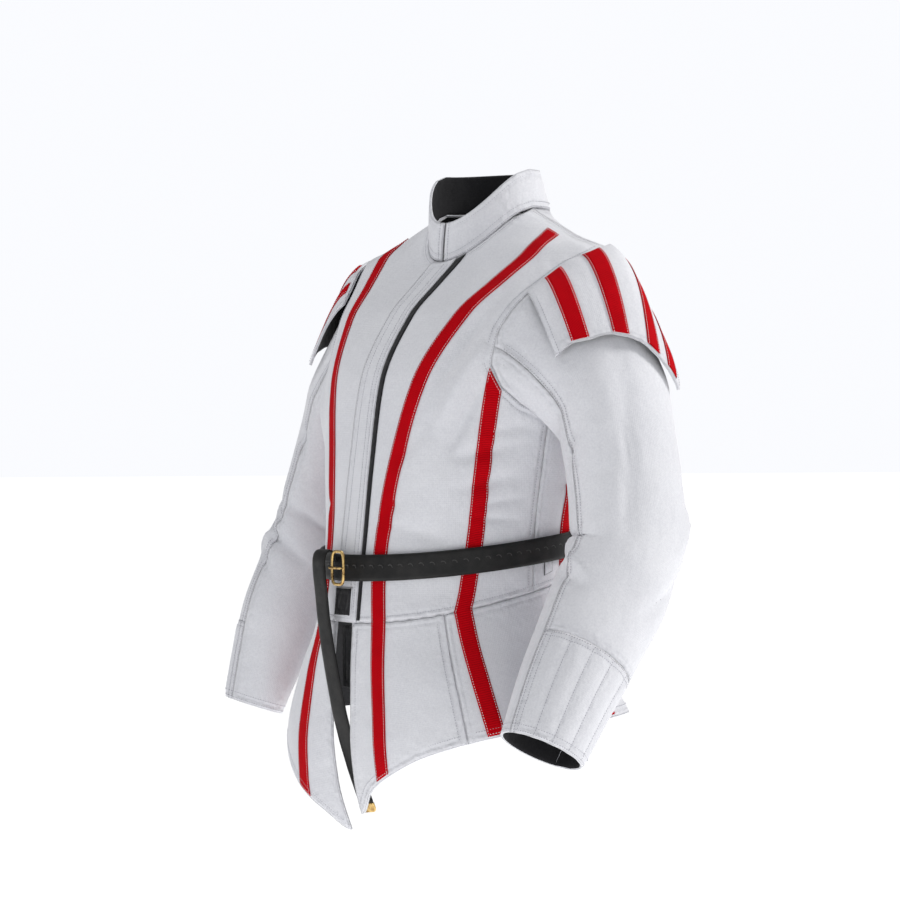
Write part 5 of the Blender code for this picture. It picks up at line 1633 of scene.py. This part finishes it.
@dataclass
class Collar(Dresser):
    """Stand collar with its black inside.

    Args:
        height: Its height.
        rows: Steps up the collar.
        fine: Steps between the places of the table.
    """

    height: float = 0.046
    rows: int = 14
    fine: int = 4
    front: tuple[float, ...] = (0.03, 0.12, 0.24, 0.36, 0.50, 0.66, 0.83, 1.00)
    back: tuple[float, ...] = (0.80, 0.60, 0.40, 0.20, 0.00)

    def net(self) -> Net:
        """Outer face of the collar, from the left of the closing round to the right."""
        fronts = refined(np.array(self.front), self.fine)
        backs = refined(np.array((1.0, *self.back)), self.fine)[1:]
        places = [(1, Half.FRONT, f) for f in fronts] + [(1, Half.BACK, f) for f in backs]
        places += [(-1, half, f) for _, half, f in places[-2::-1]]
        base, rise = [], []
        for side, half, f in places:
            along, z = self.torso.top(half, "neck", 1.0 if f > 0.9999 else float(f))
            point = self.torso.point(side, half, np.array(along), np.array(z))
            place = f if half is Half.FRONT else 2 - f
            lean = float(curve(place, (0.0, 1.0, 1.5, 2.0), (0.004, -0.004, -0.016, -0.020)))
            base.append(point + np.array([0, 0, 0.0007]))
            rise.append([-0.002 * side * math.sin(math.pi * place / 2), lean, self.height])
        base, rise = np.array(base), np.array(rise)
        share = np.linspace(0, 1, self.rows + 1)[:, None, None]
        points = base + rise * share
        normal = unit(np.cross(np.gradient(points, axis=1), np.gradient(points, axis=0)))
        normal *= np.where(np.sum(normal * points * (1, 1, 0), -1, keepdims=True) < 0, -1, 1)
        normal[..., 2] *= 0.3
        normal = unit(normal)
        swell = 0.0007 * np.sin(np.pi * share)
        return Net(points + normal * swell, normal)

    def build(self) -> None:
        """Make the collar and its sewing."""
        net = self.net()
        self.cloth("collar_stand", net, net.lifted(-0.0034), ["collar", "collar_lining"], list(Rim))
        rows = [sewn(net, Rim.FIRST_ROW, gap) for gap in (0.0022, 0.0080)]
        rows += [sewn(net, Rim.LAST_ROW, 0.0055)]
        rows += [sewn(net, rim, 0.0055) for rim in (Rim.FIRST_LINE, Rim.LAST_LINE)]
        self.stitch("sewing_of_collar", rows)


@dataclass
class Arm(Dresser):
    """One sleeve with its quilted forearm and its shoulder wing.

    Args:
        form: The sleeve's form.
        side: Which arm.
        raised: Height of the quilted channels.
        wing_wall: Thickness of the wing with its black underside.
    """

    form: SleeveForm | None = None
    side: Side = Side.LEFT
    raised: float = 0.0024
    wing_wall: float = 0.0037

    def build(self) -> None:
        """Make the sleeve's panels, the wing and their sewing."""
        word, rows = self.side.word, []
        parts = (("sleeve_outer", (0, 16), (-8, 7), 0.0), ("sleeve_under", (0, None), (7, 18), 0.0),
                 ("forearm_quilt", (16, None), (-8, 7), self.raised))
        rims = list(Rim)
        for part, span, lines, raised in parts:
            net = self.form.net(span, lines, raised)
            inner = net.lifted(-self.wall)
            if span[0] == 0:
                half = self.form.fine // 2
                keep = np.arange(lines[0] * half, lines[1] * half + 1) % self.form.count
                inner[0] = net.points[0] - self.form.edge[keep] * self.wall
            name = part + "_" + word
            channels = self.form.fine if raised else 0
            self.cloth(name + "_cloth", net, inner, [name], rims, channels)
            if part == "sleeve_outer":
                rows += [sewn(net, Rim.LAST_LINE, gap)[3:] for gap in (0.0020, 0.0075)]
                rows += [sewn(net, Rim.FIRST_LINE, 0.0065)[6:]]
            if part == "forearm_quilt":
                rows += self.quilting(net)
            if part == "sleeve_under":
                rows += [sewn(net, Rim.LAST_ROW, gap) for gap in (0.0030, 0.0100)]
        self.stitch("sewing_of_sleeve_" + word, rows)
        self.wing(word)

    def quilting(self, net: Net) -> list[Array]:
        """Lines of sewing down the channels, across their top and round the cuff."""
        half = self.form.fine // 2
        rows = [net.points[1:-1, k] + net.normals[1:-1, k] * 0.0002
                for k in range(2 * half, net.points.shape[1] - 1, 2 * half)]
        rows += [sewn(net, Rim.FIRST_ROW, gap) for gap in (0.0020, 0.0075)]
        rows += [sewn(net, Rim.LAST_ROW, gap) for gap in (0.0030, 0.0100)]
        return rows + [sewn(net, Rim.LAST_LINE, gap) for gap in (0.0020, 0.0075)]

    def wing(self, word: str) -> None:
        """Make the wing, its tapes and its edge sewing."""
        net, rows, tape_rows, f = self.form.wing(), [], [], 4
        inner = net.lifted(-self.wing_wall)
        self.cloth("wing_%s_cloth" % word, net, inner, ["wing_" + word, "wing_lining_" + word],
                   [Rim.FIRST_LINE, Rim.LAST_LINE, Rim.LAST_ROW])
        rows += [sewn(net, Rim.LAST_ROW, 0.0060)[1:-1], sewn(net, Rim.FIRST_ROW, 0.0060)[1:-1]]
        rows += [sewn(net, rim, 0.0060)[1:-1] for rim in (Rim.FIRST_LINE, Rim.LAST_LINE)]
        steps = len(net.points) - 1
        for n, first in enumerate((1, 4, 7, 10)):
            strip = cut(net.part(slice(None), slice(first * f, (first + 1) * f + 1)),
                        steps * 0.25 / 7, steps * (1 - 0.1 / 7))
            name = "wing_tape_%d_%s" % (n + 1, word)
            top = self.laid(name + "_ribbed", strip, self.finishes.red, "red_tape", [name],
                            self.rest, self.tape, [])
            tape_rows += [sewn(top, rim, 0.0016) for rim in (Rim.FIRST_LINE, Rim.LAST_LINE)]
        self.stitch("sewing_of_wing_" + word, rows)
        self.stitch("sewing_of_wing_tapes_" + word, tape_rows, bright=True)


@dataclass
class Belt(Dresser):
    """Leather belt round the waist with its hanging end and brass fittings.

    Args:
        height: Height and slope of the belt's middle.
        width: Its width.
        thick: Its thickness.
        lift: How far it stands off the body.
        over_flap: How much farther it stands off over the flap.
        tail_width: Width of its hanging end.
    """

    height: tuple[float, float] = (-0.400, 0.13)
    width: float = 0.030
    thick: float = 0.0032
    lift: float = 0.0034
    over_flap: float = 0.0042
    tail_width: float = 0.025

    def ring(self, lift: float) -> Net:
        """Face of the belt round the waist at a height off the body."""
        rows, ways = [], []
        quarters = ((1, Half.FRONT, 0, 1), (1, Half.BACK, 1, 0), (-1, Half.BACK, 0, 1),
                    (-1, Half.FRONT, 1, 0))
        for edge in np.linspace(-0.5, 0.5, 9):
            line, out = [], []
            for side, half, first, last in quarters:
                share = np.linspace(first, last, 61)[:-1]
                z = self.torso.level(side, half, share, self.height[0] + edge * self.width,
                                     self.height[1])
                along = share * self.torso.arc(half, z)
                way = self.torso.way(side, half, along, z)
                flat = unit(way * np.array([1, 1, 0]))
                front = np.exp(-((along - 0.010) / 0.040) ** 2) if half is Half.FRONT else 0 * along
                off = lift + self.over_flap * front - 0.0005 * abs(2 * edge) ** 6
                line.append(self.torso.point(side, half, along, z) + flat * off[:, None])
                out.append(flat)
            rows.append(np.concatenate(line))
            ways.append(np.concatenate(out))
        points = np.array(rows)
        step = np.linalg.norm(np.diff(points, axis=1), axis=-1)
        along = np.concatenate([np.zeros((len(step), 1)), np.cumsum(step, 1)], 1)
        return Net(points, np.array(ways), along)

    def tail(self) -> tuple[Net, Array]:
        """Outer face of the belt's hanging end and the points of its back."""
        route = np.array(TAIL_ROUTE)
        run = np.concatenate([[0], np.cumsum(np.linalg.norm(np.diff(route[:, :3], axis=0), axis=1))])
        at = np.linspace(0, run[-1], 150)
        read = [np.interp(at, run, route[:, k]) for k in range(4)]
        soft = np.array([1, 4, 6, 4, 1]) / 16
        middle = np.stack(read[:3], 1)
        inside = np.stack([np.convolve(middle[:, k], soft, "valid") for k in range(3)], 1)
        middle = np.concatenate([middle[:2], inside, middle[-2:]])
        along = unit(np.gradient(middle, axis=0))
        turn = np.radians(read[3])
        wide = np.stack([np.cos(turn), np.sin(turn), 0 * turn], 1)
        across = unit(wide - np.sum(wide * along, 1, keepdims=True) * along)
        face = unit(np.cross(across, along))
        edge = np.linspace(-0.5, 0.5, 9)
        points = middle[:, None] + across[:, None] * edge[None, :, None] * self.tail_width
        round_off = (0.0014 - 0.0004 * np.abs(2 * edge) ** 6)[None, :, None]
        normals = np.broadcast_to(face[:, None], points.shape)
        return Net(points + normals * round_off, normals), points - normals * round_off

    def build(self) -> None:
        """Make the belt, its stamped marks, its end and its fittings."""
        leather = self.finishes.leather
        outer, inner = self.ring(self.lift + self.thick), self.ring(self.lift)
        band = Wall("belt_round_waist", outer, inner.points, leather, leather, (), 0, 0.0003, True)
        item = settle(band.make(), ["belt_band"])
        lines = outer.points.shape[1]
        marks = [(4, k) for k in list(range(3, 110, 3)) + list(range(lines - 58, lines - 4, 3))]
        stamped = Stamps().make("belt_stamps", outer, marks, self.finishes.stamp_highlight)
        settle(stamped, ())
        net, back = self.tail()
        end = Wall("belt_hanging_end", net, back, leather, leather, (), 0, 0.0003)
        item = settle(end.make(), ["belt_tail"])
        spots = [(row, 4) for row in range(58, 96, 6)]
        dots = Stamps(0.0016, 6.0, 0.0004).make("belt_end_stamps", net, spots, self.finishes.stamp_highlight)
        settle(dots, ())
        edges = [sewn(net, rim, 0.0020) for rim in (Rim.FIRST_LINE, Rim.LAST_LINE)]
        self.stitch("sewing_of_belt_end", [line[50:] for line in edges], black=True)
        self.fittings(net)

    def fittings(self, net: Net) -> None:
        """Make the buckle's frame, its prong and the brass end."""
        z = float(self.torso.level(-1, Half.FRONT, np.array([0.05]), *self.height)[0])
        middle = np.array([0.012, -0.2262 - 0.0042 - 0.0030 - self.thick - 0.0020, z])
        frame_bar = bar_ring(middle, 0.014, 0.021, 0.0035, 0.0028)
        item = tube("buckle_frame_cast", frame_bar, True, True, self.finishes.brass)
        settle(item, ["buckle_frame"])
        run = np.linspace(-0.0135, 0.0135, 25)
        path = middle + np.stack([run, -0.0030 + 0.0006 * np.cos(run * 140), 0 * run], 1)
        thick = 0.0015 * np.clip((0.0145 - run) / 0.006, 0.45, 1.0)
        item = tube("buckle_prong_cast", rod(path, thick), False, True, self.finishes.brass)
        settle(item, ["buckle_prong"])
        end, way = net.points[-1].mean(0), unit(net.points[-1].mean(0) - net.points[-3].mean(0))
        across = unit(net.points[-1, -1] - net.points[-1, 0])
        face = unit(np.cross(across, way))
        end = end - net.normals[-1, 4] * 0.0012
        rows = []
        for down, narrow, flat in ((0.0010, 0.90, 0.75), (0.0016, 1.0, 1.0), (0.0080, 1.0, 1.0),
                                   (0.0108, 0.93, 0.95), (0.0126, 0.78, 0.80)):
            ring = []
            for a in np.linspace(0, 2 * math.pi, 33)[:-1]:
                c, s = math.cos(a), math.sin(a)
                u = math.copysign(abs(c) ** 0.25, c) * 0.0128 * narrow
                v = math.copysign(abs(s) ** 0.5, s) * 0.0022 * flat
                ring.append(end + way * down + across * u + face * v)
            rows.append(ring)
        item = tube("belt_end_cap", np.array(rows), False, True, self.finishes.brass)
        settle(item, ["belt_chape"])


def bar_ring(middle: Array, wide: float, tall: float, bar: float, depth: float) -> Array:
    """Sections of a buckle's frame: a rounded rectangle swept by a rounded bar."""
    rows = []
    for a in np.linspace(0, 2 * math.pi, 65)[:-1]:
        c, s = math.cos(a), math.sin(a)
        u, v = math.copysign(abs(c) ** 0.5, c), math.copysign(abs(s) ** 0.5, s)
        ring = []
        for b in np.linspace(0, 2 * math.pi, 13)[:-1]:
            p = math.copysign(abs(math.cos(b)) ** 0.7, math.cos(b)) * bar / 2
            q = math.copysign(abs(math.sin(b)) ** 0.7, math.sin(b)) * depth / 2
            ring.append(middle + np.array([u * (wide - bar / 2 + p), q, v * (tall - bar / 2 + p)]))
        rows.append(ring)
    return np.array(rows)


def rod(path: Array, radius: Array, sides: int = 12) -> Array:
    """Sections of a round rod along a path."""
    along = unit(np.gradient(path, axis=0))
    first = unit(np.cross(along, np.array([0.0, 0.0, 1.0])))
    second = np.cross(along, first)
    turn = np.linspace(0, 2 * math.pi, sides + 1)[:-1]
    ring = first[:, None] * np.cos(turn)[None, :, None] + second[:, None] * np.sin(turn)[None, :, None]
    return path[:, None] + ring * radius[:, None, None]


def tube(name: str, sections: Array, ring: bool, smooth: bool,
         finish: bpy.types.Material) -> bpy.types.Object:
    """Skin closed sections into one solid with capped or joined ends.

    Args:
        name: The piece's name.
        sections: Sections by corners by three.
        ring: Whether the last section joins the first.
        smooth: Whether it is shaded smooth.
        finish: Its finish.

    Returns:
        The piece.
    """
    count, sides = sections.shape[:2]
    index = np.arange(count * sides).reshape(count, sides)
    rows = range(count if ring else count - 1)
    faces = [(int(index[j, k]), int(index[j, (k + 1) % sides]),
              int(index[(j + 1) % count, (k + 1) % sides]), int(index[(j + 1) % count, k]))
             for j in rows for k in range(sides)]
    if not ring:
        faces += [tuple(int(i) for i in index[0][::-1]), tuple(int(i) for i in index[-1])]
    points = sections.reshape(-1, 3)
    volume = sum(float(points[f[0]] @ np.cross(points[f[i]], points[f[i + 1]]))
                 for f in faces for i in range(1, len(f) - 1))
    if volume < 0:
        faces = [f[::-1] for f in faces]
    mesh = bpy.data.meshes.new(name)
    mesh.from_pydata(points.tolist(), [], faces)
    mesh.materials.append(finish)
    mesh.polygons.foreach_set("use_smooth", np.full(len(faces), smooth))
    mesh.set_sharp_from_angle(angle=math.radians(50))
    item = bpy.data.objects.new(name, mesh)
    bpy.context.scene.collection.objects.link(item)
    return item


@dataclass(frozen=True)
class Studio:
    """Camera, soft lights and pale floor.

    Args:
        azimuth: Camera's turn round the jacket, in degrees.
        distance: Its distance from the jacket's upright plane.
        aside: Its middle across the view, from the origin.
        height: Its height.
        view_width: Width seen at the origin's distance.
        floor: Height of the floor.
        air: Strength of the soft light all round.
        backdrop: Brightness of the backdrop.
    """

    azimuth: float = 55.0
    distance: float = 3.6
    aside: float = -0.0573
    height: float = -0.290
    view_width: float = 1.098
    floor: float = -1.25
    air: float = 0.27
    backdrop: float = 1.0

    def build(self) -> None:
        """Set the camera, the lights and the floor."""
        turn = math.radians(self.azimuth)
        wide = Vector((math.cos(turn), math.sin(turn), 0))
        back = Vector((math.sin(turn), -math.cos(turn), 0))
        spot = wide * self.aside + Vector((0, 0, self.height))
        data = bpy.data.cameras.new("camera")
        data.lens = 36.0 * self.distance / self.view_width
        camera = bpy.data.objects.new("camera", data)
        bpy.context.scene.collection.objects.link(camera)
        camera.location = spot + back * self.distance
        camera.rotation_euler = (-back).to_track_quat("-Z", "Y").to_euler()
        bpy.context.scene.camera = camera
        for name, side, out, up, size, power, colour in (
                ("key", 2.4, 0.3, 1.7, 0.8, 50.0, (1.0, 0.99, 0.98)),
                ("fill", -1.6, 2.6, 0.6, 1.6, 8.0, (0.93, 0.95, 1.0)),
                ("top", -0.6, 0.2, 2.6, 1.0, 17.0, (1.0, 1.0, 1.0))):
            light = bpy.data.lights.new(name, "AREA")
            light.shape, light.size, light.energy, light.color = "DISK", size, power, colour
            lamp = bpy.data.objects.new(name, light)
            bpy.context.scene.collection.objects.link(lamp)
            lamp.location = spot + wide * side + back * out + Vector((0, 0, up))
            lamp.rotation_euler = (spot - lamp.location).to_track_quat("-Z", "Y").to_euler()
        world = bpy.data.worlds.new("studio")
        bpy.context.scene.world = world
        world.use_nodes = True
        tree = world.node_tree
        air = tree.nodes["Background"]
        air.inputs["Color"].default_value = (0.96, 0.97, 1.0, 1.0)
        seen = tree.nodes.new("ShaderNodeLightPath").outputs["Is Camera Ray"]
        strength = maths(tree, "ADD", maths(tree, "MULTIPLY", seen, self.backdrop - self.air), self.air)
        tree.links.new(strength, air.inputs["Strength"])
        mesh = bpy.data.meshes.new("floor")
        far = 90.0
        mesh.from_pydata([(-far, -far, self.floor), (far, -far, self.floor),
                          (far, far, self.floor), (-far, far, self.floor)], [], [(0, 1, 2, 3)])
        floor = bpy.data.objects.new("floor", mesh)
        pale = Thread("pale floor", (0.92, 0.92, 0.93), 0.9).material()
        shader = pale.node_tree.nodes["Principled BSDF"]
        shader.inputs["Emission Color"].default_value = (1.0, 1.0, 1.0, 1.0)
        shader.inputs["Emission Strength"].default_value = 0.80
        mesh.materials.append(pale)
        bpy.context.scene.collection.objects.link(floor)


def main() -> None:
    """Build the jacket piece by piece, then the studio."""
    logging.basicConfig(level=logging.INFO, format="%(name)s: %(message)s")
    bpy.context.scene.view_settings.view_transform = "Standard"
    torso, finishes = Torso(), Finishes()
    Studio().build()
    sleeves = {side: SleeveForm(torso, side.value) for side in Side}
    Body(torso, finishes).build(sleeves)
    Collar(torso, finishes).build()
    for side, form in sleeves.items():
        Arm(torso, finishes, form=form, side=side).build()
    Belt(torso, finishes).build()


if __name__ == "__main__":
    main()
